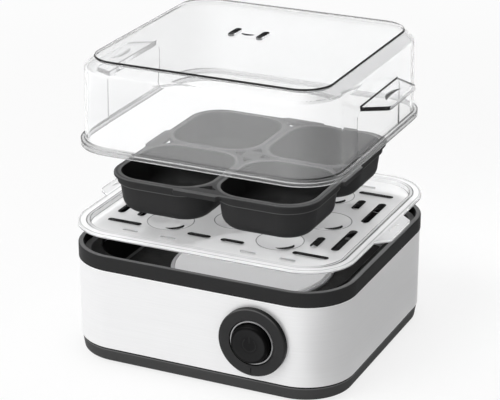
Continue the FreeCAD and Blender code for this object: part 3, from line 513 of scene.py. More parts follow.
@dataclass(frozen=True)
class Trim(Moulded):
    """Black trim of collar and bottom cover: a paler cover, a painted highlight on the lip and along the
    cover's top edge, and painted shade where it is sunk and in the seam under the steel.
    """

    lip_highlight_colour: Colour = (0.125, 0.125, 0.126)
    shelf_highlight_colour: Colour = (0.06, 0.06, 0.0605)
    painted_shade_colour: Colour = (0.0006, 0.0006, 0.0006)
    low_colour: Colour = (0.062, 0.062, 0.0625)
    outline: Outline = (106.0, 97.5, 37.0)
    shelf_inner: float = -8.5
    collar_bottom: float = 74.0
    lip_bottom: float = 83.0
    cover_top: float = 13.4
    seam: float = 1.1
    inward: float = -10.0
    level: float = 0.6
    lip_level: float = 0.8

    def tint(self, tree: Tree, effects: Effects) -> object:
        """Front, the lip's painted highlight, its shelf with painted light on the outer strip and painted
        shade further in, the sunk inner wall in painted shade, the cover's side, and the painted shade of its
        seam under the steel with a painted highlight just below it.

        Args:
            tree: The material's tree.
            effects: The shared node groups.

        Returns:
            The colour's socket.
        """
        x, y, z = tree.place()
        facing_x, facing_y, up = tree.facing()
        collar = tree.above(z, self.collar_bottom, soft=0.2)
        outward = tree.math("ADD", tree.both(facing_x, x), tree.both(facing_y, y))
        inner = tree.both(tree.below(outward, self.inward, soft=5), tree.below(up, self.level))
        shelf = tree.both(tree.above(up, self.level), tree.below(z, self.lip_bottom, soft=0.2))
        # Painted shade: the inner wall and the shelf below the lip are painted near-black.
        sunk = tree.both(collar, tree.either(inner, shelf))
        # Painted highlight: the upward face of the lip is painted paler.
        lip = tree.both(tree.above(z, self.lip_bottom, soft=0.2), tree.above(up, self.lip_level, soft=0.15))
        inside = effects.distance(tree, x, y, *self.outline)
        # Painted light: the outer strip of the shelf is painted paler.
        painted_lit_shelf = tree.both(shelf, collar, tree.above(inside, self.shelf_inner, soft=0.8))
        low = tree.below(z, self.cover_top - self.seam, soft=0.3)
        # Painted shade in the seam under the steel, and a painted highlight along the cover's top edge below
        # it.
        seam = tree.band(z, self.cover_top - self.seam, self.cover_top + self.seam, soft=0.3)
        edge = tree.band(z, self.cover_top - 2 * self.seam, self.cover_top - self.seam, soft=0.2)
        colour = tree.mix(low, self.colour, self.low_colour)
        colour = tree.mix(tree.either(lip, edge), colour, self.lip_highlight_colour)
        colour = tree.mix(tree.either(sunk, seam), colour, self.painted_shade_colour)
        return tree.mix(painted_lit_shelf, colour, self.shelf_highlight_colour)


@dataclass(frozen=True)
class Bezel(Moulded):
    """Dark grey bezel: a painted highlight along the top of its bevel, and painted shade on its side."""

    bevel_highlight_colour: Colour = (0.09, 0.09, 0.091)
    side_shade_colour: Colour = (0.002, 0.002, 0.002)
    bevel_front: Pair = (0.5, 0.9)
    bevel_level: float = 0.5
    side_front: float = 0.4

    def tint(self, tree: Tree, effects: Effects) -> object:
        """Face, the bevel's painted highlight and the side's painted shade.

        Args:
            tree: The material's tree.
            effects: The shared node groups.

        Returns:
            The colour's socket.
        """
        _, front, up = tree.facing()
        frontal = tree.size(front)
        # Painted highlight: the upward part of the bevel is painted paler; painted shade: the side is painted
        # near-black.
        bevel = tree.both(tree.band(frontal, *self.bevel_front, soft=0.05),
                          tree.above(up, self.bevel_level, soft=0.15))
        side = tree.below(frontal, self.side_front, soft=0.05)
        colour = tree.mix(bevel, self.colour, self.bevel_highlight_colour)
        return tree.mix(side, colour, self.side_shade_colour)


@dataclass(frozen=True)
class ButtonCap(Moulded):
    """Black button: a dish painted a little paler as light on it, and a deep black painted shade on its round
    edge.
    """

    dish_light_colour: Colour = (0.017, 0.017, 0.0175)
    side_shade_colour: Colour = (0.001, 0.001, 0.001)
    middle: Pair = BUTTON_MIDDLE
    dish_radius: float = DISH_RADIUS
    dish_edge: float = 0.6
    mark_radius: float = 6.4

    def tint(self, tree: Tree, effects: Effects) -> object:
        """Middle, the dish's painted light and the edge's painted shade.

        Args:
            tree: The material's tree.
            effects: The shared node groups.

        Returns:
            The colour's socket.
        """
        x, _, z = tree.place()
        away = tree.reach(*tree.off(x, z, self.middle))
        # Painted light on the dish ring outside the mark; painted shade on the round edge.
        dish = tree.above(away, self.mark_radius, soft=1.2)
        side = tree.above(away, self.dish_radius + self.dish_edge, soft=0.5)
        colour = tree.mix(dish, self.colour, self.dish_light_colour)
        return tree.mix(side, colour, self.side_shade_colour)


@dataclass(frozen=True)
class TubCoating(Moulded):
    """Black coating of the water tub: the floor painted a shade paler than the walls as light falling on it.
    """

    # The floor's painted light and the bend's painted highlight.
    floor_colour: Colour = (0.011, 0.011, 0.011)
    highlight_colour: Colour = (0.06, 0.06, 0.06)
    floor_height: float = 50.0
    floor_level: float = 0.9
    floor_rise: float = 2.0
    bend_levels: Pair = (0.25, 0.8)
    bend_rise: float = 3.0

    def tint(self, tree: Tree, effects: Effects) -> object:
        """Wall, the floor's painted light and the painted highlight on the bend between them.

        Args:
            tree: The material's tree.
            effects: The shared node groups.

        Returns:
            The colour's socket.
        """
        z = tree.place()[2]
        up = tree.facing()[2]
        # Painted light: the upward floor is painted paler than the walls.
        floor = tree.both(tree.above(up, self.floor_level, soft=0.05),
                          tree.below(z, self.floor_height + self.floor_rise, soft=0.5))
        # Painted highlight along the bend between wall and floor.
        bend_highlight = tree.both(tree.band(up, *self.bend_levels),
                         tree.below(z, self.floor_height + self.bend_rise, soft=0.5))
        colour = tree.mix(floor, self.colour, self.floor_colour)
        return tree.mix(bend_highlight, colour, self.highlight_colour)


@dataclass(frozen=True)
class TrayPlastic(Moulded):
    """Black tray: near-black inside the cups, with painted highlights along the rims and the step."""

    inside: Colour = (0.008, 0.008, 0.008)
    # Painted highlight colours for the rims and the step.
    rim: Colour = (0.075, 0.075, 0.075)
    step: Colour = (0.08, 0.08, 0.08)
    top: float = 139.5
    step_drop: float = 7.0
    step_height: float = 0.7
    cup_middle: Pair = (39.0, 41.0)
    cup: Outline = (35.5, 37.5, 22.0)
    outline: Outline = (79.0, 83.0, 25.0)
    rim_width: float = 2.2
    rim_depth: float = 0.5
    edge_width: float = 1.4
    lining_level: float = 0.3
    lining_drop: float = 0.6
    lining_reach: float = 0.3
    overhang: float = -0.05

    def tint(self, tree: Tree, effects: Effects) -> object:
        """Outside, inside of the cups, and the painted highlights on the rims and the step.

        Args:
            tree: The material's tree.
            effects: The shared node groups.

        Returns:
            The colour's socket.
        """
        x, y, z = tree.place()
        facing_x, facing_y, up = tree.facing()
        from_x, from_y = tree.off(tree.size(x), tree.size(y), self.cup_middle)
        cup = effects.distance(tree, from_x, from_y, *self.cup)
        edge = effects.distance(tree, x, y, *self.outline)
        turn_x = tree.both(tree.math("SIGN", x), facing_x, from_x)
        turn_y = tree.both(tree.math("SIGN", y), facing_y, from_y)
        inward = tree.below(tree.math("ADD", turn_x, turn_y), 0.0, soft=0.5)
        lining = tree.both(tree.either(inward, tree.above(up, self.lining_level)),
                           tree.above(up, self.overhang, soft=0.03),
                           tree.below(z, self.top - self.lining_drop),
                           tree.below(cup, self.lining_reach, soft=0.2))
        # Painted highlights: the flat tops of the rims round each cup and along the outer edge are painted
        # paler.
        flat_top = tree.above(z, self.top - self.rim_depth, soft=0.2)
        rim_highlights = tree.both(flat_top, tree.either(tree.below(cup, self.rim_width, soft=0.5),
                                               tree.above(edge, -self.edge_width, soft=0.4)))
        # Painted highlight along the step below the rim.
        step_low = self.top - self.step_drop
        step = tree.band(z, step_low, step_low + self.step_height)
        colour = tree.mix(step, self.colour, self.step)
        colour = tree.mix(rim_highlights, colour, self.rim)
        return tree.mix(lining, colour, self.inside)


@dataclass(frozen=True)
class Brushed(Finish):
    """Brushed sheet metal with a painted highlight along its top edge."""

    colour: Colour = (0.8, 0.8, 0.8)
    highlight_colour: Colour = (1.0, 1.0, 1.0)
    top: float = 74.0
    edge_width: float = 1.0
    roughness: float = 0.36
    metallic: float = 1.0
    tone: float = 0.1
    spread: float = 0.2
    bump: float = 0.05
    edge_round: float = 0.4

    def build(self, effects: Effects) -> bpy.types.Material:
        """Makes the material.

        Args:
            effects: The shared node groups.

        Returns:
            The material.
        """
        material, tree, shader = self.start()
        shader.inputs["Metallic"].default_value = self.metallic
        # Painted highlight: a bright band along the top edge.
        edge = tree.above(tree.place()[2], self.top - self.edge_width, soft=0.2)
        base = tree.mix(edge, self.colour, self.highlight_colour)
        values = {"Base": base, "Tone": self.tone, "Roughness": self.roughness, "Spread": self.spread}
        brush = tree.add("ShaderNodeGroup", values, node_tree=effects.brushing)
        tree.put(brush.outputs["Colour"], shader.inputs["Base Color"])
        tree.put(brush.outputs["Roughness"], shader.inputs["Roughness"])
        normal = self.relief(tree, effects, brush.outputs["Height"], self.bump, self.edge_round)
        tree.put(normal, shader.inputs["Normal"])
        return material


@dataclass(frozen=True)
class Clear(Finish):
    """Clear moulded plastic with a white haze and painted dark edges in place of refraction, reflection and
    shade, which lets lamp light through.
    """

    colour: Colour = (0.97, 0.972, 0.975)
    painted_dark: Colour = (0.004, 0.004, 0.004)
    roughness: float = 0.0
    transmission: float = 0.85
    ior: float = 1.49
    haze_scale: float = 160.0
    haze_tone: float = 0.02
    passing: Colour = (0.985, 0.985, 0.985)

    def edges(self, tree: Tree, effects: Effects) -> Socket:
        """A mask of the painted dark edges and grey tones, in place of refraction and shade; each clear piece
        has its own.
        """
        raise NotImplementedError

    def build(self, effects: Effects) -> bpy.types.Material:
        """Makes the material.

        Args:
            effects: The shared node groups.

        Returns:
            The material.
        """
        material, tree, shader = self.start()
        shader.inputs["Transmission Weight"].default_value = self.transmission
        shader.inputs["IOR"].default_value = self.ior
        shader.inputs["Roughness"].default_value = self.roughness
        values = {"Base": self.colour, "Scale": self.haze_scale, "Tone": self.haze_tone}
        grain = tree.add("ShaderNodeGroup", values, node_tree=effects.grain)
        # Painted shade: the edges' mask darkens the haze toward the painted dark colour.
        colour = tree.mix(self.edges(tree, effects), grain.outputs["Colour"], self.painted_dark)
        tree.put(colour, shader.inputs["Base Color"])
        rays = tree.add("ShaderNodeLightPath")
        passing = tree.add("ShaderNodeBsdfTransparent", {"Color": self.passing})
        mixed = tree.add("ShaderNodeMixShader", {0: rays.outputs[Ray.SHADOW.value], 1: shader.outputs[0],
                                                 2: passing.outputs[0]})
        tree.put(mixed.outputs[0], material.node_tree.nodes["Material Output"].inputs["Surface"])
        return material


@dataclass(frozen=True)
class ClearLid(Clear):
    """The lid's clear plastic, with painted dark lines and grey tones along its panel, handles, flange, bevel
    and steam slots in place of refraction and shade.
    """

    top: float = 224.5
    panel: Outline = (88.4, 85.9, 21.4)
    wall: Outline = (97.0, 94.5, 30.0)
    outer: Outline = (100.0, 97.5, 33.0)
    flange_top: float = 165.0
    tab_low: float = 198.0
    tab_high: float = 201.0
    tab_root: float = 96.4
    recess_half: float = 40.0
    recess_from: float = 90.0
    root_half: float = 36.0
    flange_ends: Pair = (62.0, 92.0)
    bevel_drop: float = 9.0
    vent_middle: Pair = (-10.0, 15.0)
    vent_reach: Pair = (16.0, 10.0)
    vent_depth: float = 4.0
    upright_limit: float = 0.35
    upward_limit: float = 0.9
    slack: float = 0.1
    panel_edge: Pair = (-0.5, 0.5)
    wall_edge: Pair = (-0.8, 0.5)
    outer_edge: Pair = (-1.0, 0.5)
    root_reach: Pair = (-0.6, 0.8)
    root_rise: Pair = (-0.2, 0.8)
    mark_depth: float = 0.6
    recess_wall: Pair = (-2.0, 0.2)
    recess_edge: Pair = (-0.9, 0.7)
    recess_gaps: Pair = (0.5, 3.0)
    junction_rise: Pair = (-0.3, 1.1)
    rim_rise: Pair = (-1.0, 0.3)
    bevel_levels: Pair = (0.45, 0.9)
    bevel_sides: Pair = (0.15, 0.6)
    face_rise: float = 0.6
    tab_sides: Pair = (0.85, 0.98)
    tab_end_tone: float = 0.3
    tab_tone: float = 0.12
    recess_tone: float = 0.7
    flange_tone: float = 0.9
    lip_tone: float = 0.36
    bevel_tones: Pair = (0.06, 0.28)
    face_tone: float = 0.18

    def edges(self, tree: Tree, effects: Effects) -> Socket:
        """Where dark lines and grey tones are painted on the lid in place of refraction and shade.

        Args:
            tree: The material's tree.
            effects: The shared node groups.

        Returns:
            The mask's socket.
        """
        x, y, z = tree.place()
        facing_x, _, up = tree.facing()
        side, sideways = tree.size(x), tree.size(facing_x)
        upright = tree.below(tree.size(up), self.upright_limit)
        upward = tree.above(up, self.upward_limit, soft=0.05)
        panel = effects.distance(tree, x, y, *self.panel)
        panel_line = tree.both(tree.band(panel, *self.panel_edge),
                               tree.above(z, self.top - self.slack / 2, soft=0.03))
        on_tab = tree.both(tree.above(side, self.tab_root + self.slack),
                           tree.band(z, self.tab_low - self.slack, self.tab_high + self.slack, soft=0.05))
        tab_edge = tree.both(on_tab, upright, tree.span(sideways, *self.tab_sides, 1.0, self.tab_end_tone))
        tab_top = tree.both(on_tab, upward, self.tab_tone)
        tab_root = tree.both(tree.near(side, self.tab_root, self.root_reach),
                             tree.near(z, self.tab_high, self.root_rise),
                             tree.below(tree.size(y), self.root_half, soft=0.5))
        mark = tree.both(on_tab, upward,
                         tree.band(z, self.tab_low + self.mark_depth, self.tab_high - self.mark_depth))
        wall = effects.distance(tree, x, y, *self.wall)
        outer = effects.distance(tree, x, y, *self.outer)
        low, high = self.flange_top + self.recess_gaps[0], self.tab_low - self.recess_gaps[1]
        recess = tree.both(tree.band(wall, *self.recess_wall), tree.above(side, self.recess_from, soft=1),
                           tree.near(tree.size(y), self.recess_half, self.recess_edge),
                           tree.band(z, low, high, soft=0.5), self.recess_tone)
        ends = tree.span(side, *self.flange_ends, 0.0, self.flange_tone)
        junction = tree.both(tree.band(wall, *self.wall_edge),
                             tree.near(z, self.flange_top, self.junction_rise), ends)
        rim = tree.both(tree.band(outer, *self.outer_edge),
                        tree.near(z, self.flange_top, self.rim_rise), ends)
        lip = tree.both(tree.below(z, self.flange_top + self.rim_rise[1], soft=0.2), self.lip_tone)
        bevel = tree.both(tree.band(up, *self.bevel_levels, soft=0.08),
                          tree.above(z, self.top - self.bevel_drop, soft=1),
                          tree.span(sideways, *self.bevel_sides, *self.bevel_tones))
        from_x, from_y = (tree.size(length) for length in tree.off(x, y, self.vent_middle))
        vents = tree.both(upright, tree.below(from_x, self.vent_reach[0], soft=0.2),
                          tree.below(from_y, self.vent_reach[1], soft=0.2),
                          tree.above(z, self.top - self.vent_depth, soft=0.2))
        face = tree.both(tree.above(z, self.top + self.face_rise, soft=0.2), self.face_tone)
        # Painted shade throughout: dark lines at the panel, tab, recess and flange, grey on the tab, lip,
        # bevel and top face, and black in the steam slots.
        return tree.either(panel_line, tab_edge, tab_top, tab_root, mark, recess, junction, rim, lip, bevel,
                           vents, face)


@dataclass(frozen=True)
class ClearRack(Clear):
    """The rack's clear plastic, with painted dark lines in its slots and along its seats, steps, rim, tabs
    and lower edge, in place of refraction and shade.
    """

    bottom: float = 98.8
    plate_top: float = 98.0
    inner: Outline = (97.0, 88.5, 27.0)
    outer: Outline = (106.0, 97.5, 36.0)
    seats: tuple[Pair, ...] = ((43.0, 47.0), (0.0, 25.0), (60.0, 0.0))
    seat_radius: float = 17.0
    slot_rows: Pair = (68.0, 72.0)
    frame_ends: Pair = (78.0, 96.0)
    upright_limit: float = 0.3
    level: float = 0.5
    plate_slack: Pair = (-0.8, 0.2)
    slot_reach: float = -2.0
    seat_edge: Pair = (-0.5, 0.3)
    step_low: Pair = (-0.6, 0.6)
    step_high: Pair = (2.2, 3.2)
    step_between: Pair = (0.0, 3.0)
    rim_edge: Pair = (-2.1, -0.9)
    tab_reach: float = 0.5
    under_edge: float = -0.6
    under_rise: float = 0.8
    slot_tone: float = 0.35
    seat_tone: float = 0.6
    side_tone: float = 0.3
    step_tone: float = 0.8
    between_tone: float = 0.26
    rim_tone: float = 0.4
    tab_tone: float = 0.14
    under_tone: float = 0.6

    def edges(self, tree: Tree, effects: Effects) -> Socket:
        """Where dark lines and grey tones are painted on the rack in place of refraction and shade.

        Args:
            tree: The material's tree.
            effects: The shared node groups.

        Returns:
            The mask's socket.
        """
        x, y, z = tree.place()
        up = tree.facing()[2]
        inner = effects.distance(tree, x, y, *self.inner)
        outer = effects.distance(tree, x, y, *self.outer)
        slots = tree.both(tree.below(tree.size(up), self.upright_limit),
                          tree.below(inner, self.slot_reach, soft=0.2),
                          tree.below(z, self.plate_top + self.plate_slack[1]),
                          tree.span(tree.size(y), *self.slot_rows, 1.0, self.slot_tone))
        lines = [slots]
        for seat in self.seats:
            away = tree.reach(*tree.off(tree.size(x), tree.size(y), seat))
            ring = tree.near(away, self.seat_radius, self.seat_edge)
            lines.append(tree.both(ring, tree.above(up, self.level),
                                   tree.above(z, self.plate_top + self.plate_slack[0]), self.seat_tone))
        flat = tree.above(up, self.level, soft=0.2)
        ends = tree.span(tree.size(x), *self.frame_ends, self.side_tone, 1.0)
        step_lines = tree.either(tree.band(inner, *self.step_low, soft=0.2),
                                 tree.band(inner, *self.step_high, soft=0.3))
        step = tree.both(step_lines, flat, ends, self.step_tone)
        between = tree.both(tree.band(inner, *self.step_between, soft=0.3), flat, ends, self.between_tone)
        rim = tree.both(tree.band(outer, *self.rim_edge, soft=0.3), flat, self.rim_tone)
        tabs = tree.both(tree.above(tree.size(x), self.outer[0] + self.tab_reach, soft=0.5), flat,
                         self.tab_tone)
        under = tree.both(tree.above(outer, self.under_edge, soft=0.2),
                          tree.below(tree.size(up), self.level, soft=0.2),
                          tree.below(z, self.bottom + self.under_rise, soft=0.2), self.under_tone)
        # Painted shade throughout: black in the slots, dark lines at the seats, steps, rim and lower edge,
        # and grey on the tabs.
        return tree.either(*lines, step, between, rim, tabs, under)


FINISHES: tuple[Finish, ...] = (
    Brushed("brushed_band", colour=(0.86, 0.86, 0.865), metallic=0.5),
    Trim("black_trim", colour=(0.031, 0.031, 0.0315), roughness=0.42, specular=0.02, edge_round=0.5),
    TubCoating("black_coating", colour=(0.002, 0.002, 0.002), roughness=0.6, specular=0.05,
               grain_scale=1600.0),
    Moulded("silicone", colour=(0.27, 0.27, 0.275), roughness=0.6),
    Moulded("zinc_steel", colour=(0.6, 0.6, 0.58), roughness=0.4, metallic=1.0),
    Moulded("cast_aluminium", colour=(0.53, 0.53, 0.535), roughness=0.55, grain_tone=0.06),
    Moulded("heater_tube", colour=(0.28, 0.27, 0.26), roughness=0.5, metallic=1.0),
    Moulded("phenolic", colour=(0.06, 0.045, 0.035), roughness=0.5),
    Moulded("fuse_body", colour=(0.65, 0.65, 0.66), roughness=0.4, metallic=1.0),
    Moulded("rubber", colour=(0.02, 0.02, 0.02), roughness=0.8, specular=0.3),
    Bezel("grey_trim", colour=(0.034, 0.034, 0.0345), roughness=0.36, specular=0.06, edge_round=0.15),
    Moulded("inner_plastic", colour=(0.7, 0.69, 0.65), roughness=0.5),
    Moulded("bright_ring", colour=(0.42, 0.42, 0.425), roughness=0.35, metallic=0.7),
    Moulded("spring_steel", colour=(0.5, 0.5, 0.5), roughness=0.35, metallic=1.0),
    Moulded("lamp", colour=(0.7, 0.25, 0.12), roughness=0.3),
    Moulded("wire_insulation", colour=(0.55, 0.53, 0.46), roughness=0.5),
    ButtonCap("button_cap", colour=(0.012, 0.012, 0.0125), roughness=0.38, specular=0.06),
    Moulded("button_cap", "power_mark", colour=(0.022, 0.022, 0.0225), roughness=0.4, specular=0.06),
    TrayPlastic("tray_plastic", colour=(0.034, 0.034, 0.0345), roughness=0.5, specular=0.02, edge_round=0.5),
    ClearRack("clear_rack", transmission=0.6, ior=1.25),
    ClearLid("clear_lid", transmission=0.885, ior=1.15),
)


def skin(mesh: bmesh.types.BMesh, rows: Sequence[Sequence[bmesh.types.BMVert]]) -> None:
    """Joins rows with the same number of points into a closed tube with flat ends.

    Args:
        mesh: Where the faces are added.
        rows: The points round each section, in order.
    """
    rounded = len(rows[0]) > 4
    for row, after in zip(rows, rows[1:]):
        for number in range(len(row)):
            following = (number + 1) % len(row)
            face = mesh.faces.new((row[number], row[following], after[following], after[number]))
            face.smooth = rounded
    mesh.faces.new(rows[0])
    mesh.faces.new(rows[-1])


SLOT_OF: dict[str, str] = {entry["node"]: entry["material_slot"] for entry in frame["record"]["subparts"]}


@dataclass
class Part:
    """A sub-assembly: its CAD nodes keep their shape and get their finishes."""

    finishes: dict[str, bpy.types.Material]
    nodes: tuple[str, ...] = ()

    def dress(self) -> None:
        """Gives each node the finish of its slot."""
        for name in self.nodes:
            piece = frame["nodes"][name]
            slot = SLOT_OF[name]
            piece.data.materials.clear()
            piece.data.materials.append(self.finishes[slot])
            log.info("dressed %s in %s", name, slot)

    def build(self) -> None:
        """Dresses the nodes; a part with added pieces has its own."""
        self.dress()

    def piece(self, name: str, mesh: bmesh.types.BMesh, body: Body, slot: str) -> bpy.types.Object:
        """Makes an added piece from a mesh, in the finish of its name or else of its slot.

        Args:
            name: The piece's name.
            mesh: Its shape, in metres; freed here.
            body: The body it rides on.
            slot: The record's material slot.

        Returns:
            The new object.
        """
        bmesh.ops.recalc_face_normals(mesh, faces=mesh.faces)
        data = bpy.data.meshes.new(name)
        mesh.to_mesh(data)
        mesh.free()
        data.materials.append(self.finishes.get(name, self.finishes[slot]))
        made = bpy.data.objects.new(name, data)
        bpy.context.scene.collection.objects.link(made)
        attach(made, body.value)
        log.info("added %s on %s", name, body.value)
        return made


@dataclass
class Base(Part):
    """Steel band, collar, tub, heater and everything inside."""

    nodes: tuple[str, ...] = (
        "steel_band", "top_collar", "tub_gasket", "water_tub", "tub_screws", "plate_seal", "heating_plate",
        "heating_element", "element_clamp", "clamp_screw", "thermostat", "thermal_fuse", "fuse_clip",
        "bottom_cover", "cover_screws", "rubber_feet", "terminal_block", "cord_inlet_bush", "cord_inlet_nut",
        "internal_wires")


@dataclass
class Control(Part):
    """Bezel, bright ring and push button, with the power mark on its dish and a spring."""

    nodes: tuple[str, ...] = (
        "button_bezel", "bezel_nut", "light_ring", "power_button", "button_carrier", "switch_bracket",
        "power_switch", "switch_plunger", "pilot_lamp")
    middle: Pair = BUTTON_MIDDLE
    front: float = -106.5
    dish_depth: float = 1.4
    dish_radius: float = DISH_RADIUS
    mark_radius: float = 4.9
    mark_width: float = 0.9
    mark_rise: float = 0.12
    mark_sunk: float = 0.15
    mark_gap: float = 38.0
    mark_steps: int = 56
    bar: Pair = (1.2, 6.6)
    bar_steps: int = 6
    spring_span: Pair = (-92.0, -86.2)
    spring_seat: float = -85.6
    spring_radius: float = 8.0
    spring_wire: float = 0.45
    spring_turns: int = 4
    turn_steps: int = 24
    wire_sides: int = 10
    spring_pressed: float = 0.6

    def on_dish(self, across: float, upward: float, rise: float) -> Vector:
        """A point on the dish, or raised off it.

        Args:
            across: Millimetres to the right of the button's middle.
            upward: Millimetres above it.
            rise: Millimetres out of the dish.

        Returns:
            The point in metres.
        """
        ball = (self.dish_radius ** 2 + self.dish_depth ** 2) / (2 * self.dish_depth)
        sunk = self.dish_depth - ball + math.sqrt(ball ** 2 - across ** 2 - upward ** 2)
        return Vector((self.middle[0] + across, self.front + sunk - rise, self.middle[1] + upward)) * MM

    def strip(self, mesh: bmesh.types.BMesh, edges: Sequence[tuple[Pair, Pair]]) -> None:
        """A thin raised strip on the dish between two lines.

        Args:
            mesh: Where it is added.
            edges: Pairs of points, one on each side of the strip.
        """
        rows = []
        for first, second in edges:
            rows.append([mesh.verts.new(self.on_dish(*point, rise)) for point, rise in (
                (first, -self.mark_sunk), (first, self.mark_rise), (second, self.mark_rise),
                (second, -self.mark_sunk))])
        skin(mesh, rows)

    def power_mark(self) -> None:
        """An open ring with an upright bar, the usual sign for power."""
        mesh = bmesh.new()
        half = self.mark_width / 2
        ring = []
        for step in range(self.mark_steps + 1):
            angle = math.radians(90 + self.mark_gap + (360 - 2 * self.mark_gap) * step / self.mark_steps)
            way = Vector((math.cos(angle), math.sin(angle)))
            ring.append((tuple(way * (self.mark_radius - half)), tuple(way * (self.mark_radius + half))))
        self.strip(mesh, ring)
        low, high = self.bar
        levels = [low + (high - low) * step / self.bar_steps for step in range(self.bar_steps + 1)]
        self.strip(mesh, [((-half, level), (half, level)) for level in levels])
        self.piece("power_mark", mesh, Body.BUTTON, "button_cap")

    def return_spring(self) -> None:
        """The coil spring behind the button."""
        mesh = bmesh.new()
        start, end = self.spring_span
        steps = self.turn_steps * self.spring_turns
        rise = (end - start) / (2 * math.pi * self.spring_turns)
        rings = []
        for step in range(steps + 1):
            share = step / steps
            angle = 2 * math.pi * self.spring_turns * share
            outward = Vector((math.cos(angle), 0.0, math.sin(angle)))
            around = Vector((-outward.z, 0.0, outward.x)) * self.spring_radius
            across = (around + Vector((0.0, rise, 0.0))).normalized().cross(outward)
            centre = Vector((self.middle[0], start + (end - start) * share, self.middle[1]))
            centre += outward * self.spring_radius
            ring = []
            for number in range(self.wire_sides):
                turn = 2 * math.pi * number / self.wire_sides
                reach = (outward * math.cos(turn) + across * math.sin(turn)) * self.spring_wire
                ring.append(mesh.verts.new((centre + reach) * MM))
            rings.append(ring)
        skin(mesh, rings)
        spring = self.piece("return_spring", mesh, Body.BASE, "spring_steel")
        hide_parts("button_spring")
        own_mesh(spring)

    def build(self) -> None:
        """Dresses the control, adds the mark and the spring."""
        self.dress()
        self.power_mark()
        self.return_spring()


@dataclass
class EggRack(Part):
    """The clear rack with its eight seats."""

    nodes: tuple[str, ...] = ("egg_rack",)


@dataclass
class PoachingTray(Part):
    """The black tray with four cups."""

    nodes: tuple[str, ...] = ("poaching_tray",)


@dataclass
class Lid(Part):
    """The clear lid."""

    nodes: tuple[str, ...] = ("lid",)


@dataclass(frozen=True)
class Lamp:
    """A square soft lamp: where it stands, its side in metres and its power in watts."""

    name: str
    place: Point
    size: float
    power: float


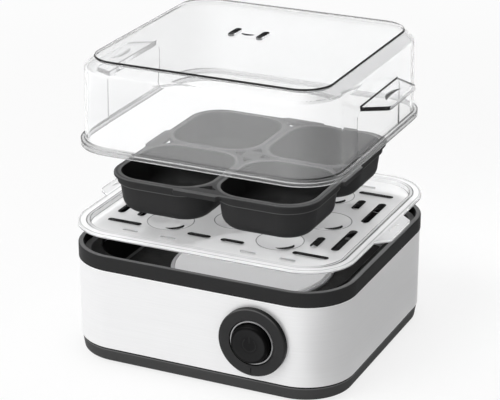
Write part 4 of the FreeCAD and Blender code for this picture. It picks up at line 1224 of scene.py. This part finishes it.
@dataclass
class Studio:
    """Floor, light and camera."""

    floor_size: float = 12.0
    floor_colour: Colour = (0.9, 0.9, 0.9)
    floor_roughness: float = 0.9
    floor_specular: float = 0.1
    floor_glow: float = 0.8
    glow_rise: Pair = (400.0, 1400.0)
    shade_x: Pair = (85.0, 140.0)
    shade_y: Pair = (-300.0, -120.0)
    shade_depth: float = 0.7
    lamps: tuple[Lamp, ...] = (
        Lamp("key", (-0.9, -1.3, 1.5), 1.2, 25.5), Lamp("fill", (1.4, -0.6, 1.1), 1.0, 1.0),
        Lamp("top", (0.0, 0.2, 1.9), 1.6, 4.5))
    shadowless: tuple[str, ...] = ("poaching_tray",)
    overhead: Pair = (0.3, 0.6)
    overhead_level: float = 0.2
    right_side: Pair = (0.05, 0.6)
    right_level: float = 0.35
    aim: Point = (0.0, 0.0, 0.098)
    azimuth: float = 24.87
    elevation: float = 21.87
    distance: float = 1.405
    shift_right: float = -0.0019
    shift_up: float = 0.0058
    lens: float = 138.4
    sensor: float = 36.0
    ambient: float = 0.5

    def floor(self) -> None:
        """A wide pale floor, white where it is seen, and shaded on the right where metal mirrors it."""
        mesh = bpy.data.meshes.new("floor")
        half = self.floor_size / 2
        corners = [(-half, -half, 0), (half, -half, 0), (half, half, 0), (-half, half, 0)]
        mesh.from_pydata(corners, [], [(0, 1, 2, 3)])
        piece = bpy.data.objects.new("floor", mesh)
        bpy.context.scene.collection.objects.link(piece)
        material, tree, shader = Finish("floor").start()
        tree.put(self.floor_colour, shader.inputs["Base Color"])
        shader.inputs["Roughness"].default_value = self.floor_roughness
        shader.inputs["Specular IOR Level"].default_value = self.floor_specular
        rays = tree.add("ShaderNodeLightPath")
        seen = tree.either(rays.outputs[Ray.CAMERA.value], rays.outputs[Ray.TRANSMISSION.value])
        x, y, _ = tree.place()
        shade = tree.both(tree.span(x, *self.shade_x), tree.span(y, *self.shade_y), self.shade_depth)
        mirrored = tree.both(rays.outputs[Ray.GLOSSY.value], tree.math("SUBTRACT", 1.0, shade))
        white = tree.add("ShaderNodeEmission", {"Color": WHITE})
        tree.put(tree.math("ADD", seen, mirrored, clamp=True), white.inputs["Strength"])
        whole = tree.span(tree.reach(x, y), *self.glow_rise, self.floor_glow, 1.0)
        glow = tree.both(tree.either(seen, rays.outputs[Ray.GLOSSY.value]), whole)
        mixed = tree.add("ShaderNodeMixShader", {0: glow, 1: shader.outputs[0], 2: white.outputs[0]})
        tree.put(mixed.outputs[0], material.node_tree.nodes["Material Output"].inputs["Surface"])
        mesh.materials.append(material)

    def light(self, lamp: Lamp) -> None:
        """Turns a lamp to the object; the shadowless nodes cast no shadow from it.

        Args:
            lamp: The lamp.
        """
        data = bpy.data.lights.new(lamp.name, "AREA")
        data.size = lamp.size
        data.energy = lamp.power
        made = bpy.data.objects.new(lamp.name, data)
        made.location = lamp.place
        made.rotation_mode = "QUATERNION"
        made.rotation_quaternion = (Vector(self.aim) - Vector(lamp.place)).to_track_quat("-Z", "Y")
        bpy.context.scene.collection.objects.link(made)
        group = bpy.data.collections.new(lamp.name + "_spared")
        for node in self.shadowless:
            group.objects.link(frame["nodes"][node])
        for member in group.collection_objects:
            member.light_linking.link_state = "EXCLUDE"
        made.light_linking.blocker_collection = group

    def world(self) -> None:
        """White where it is seen, darker overhead through clear plastic and on the right in metal."""
        world = bpy.data.worlds.new("studio")
        bpy.context.scene.world = world
        world.use_nodes = True
        tree = Tree(world.node_tree)
        rays = tree.add("ShaderNodeLightPath")
        right, _, up = tree.split(tree.add("ShaderNodeTexCoord").outputs["Generated"])
        dim = tree.span(up, *self.overhead, 1.0, self.overhead_level)
        through = tree.both(rays.outputs[Ray.TRANSMISSION.value], dim)
        dim = tree.span(right, *self.right_side, 1.0, self.right_level)
        mirrored = tree.both(rays.outputs[Ray.GLOSSY.value], dim)
        seen = tree.either(rays.outputs[Ray.CAMERA.value], through, mirrored)
        kinds = tree.either(rays.outputs[Ray.CAMERA.value], rays.outputs[Ray.TRANSMISSION.value],
                            rays.outputs[Ray.GLOSSY.value])
        soft = tree.both(tree.math("SUBTRACT", 1.0, kinds), self.ambient)
        background = world.node_tree.nodes["Background"]
        tree.put(WHITE, background.inputs["Color"])
        tree.put(tree.math("ADD", seen, soft), background.inputs["Strength"])

    def camera(self) -> None:
        """The photograph's viewing angle."""
        az, el = math.radians(self.azimuth), math.radians(self.elevation)
        right = Vector((math.cos(az), math.sin(az), 0.0))
        back = Vector((math.sin(az) * math.cos(el), -math.cos(az) * math.cos(el), math.sin(el)))
        up = back.cross(right)
        data = bpy.data.cameras.new("camera")
        data.sensor_width = self.sensor
        data.lens = self.lens
        camera = bpy.data.objects.new("camera", data)
        place = Vector(self.aim) + back * self.distance + right * self.shift_right + up * self.shift_up
        turn = Matrix((right, up, back)).transposed().to_4x4()
        camera.matrix_world = Matrix.Translation(place) @ turn
        bpy.context.scene.collection.objects.link(camera)
        bpy.context.scene.camera = camera

    def build(self) -> None:
        """Sets floor, lamps, world and camera."""
        bpy.context.scene.view_settings.view_transform = "Standard"
        self.floor()
        self.world()
        for lamp in self.lamps:
            self.light(lamp)
        self.camera()
        log.info("studio set")


def main() -> None:
    """Dresses every part and sets the studio."""
    effects = Effects()
    finishes = {finish.title(): finish.build(effects) for finish in FINISHES}
    for part in (Base, Control, EggRack, PoachingTray, Lid):
        part(finishes).build()
    Studio().build()


if __name__ == "__main__":
    logging.basicConfig(level=logging.INFO, format="%(message)s")
    main()
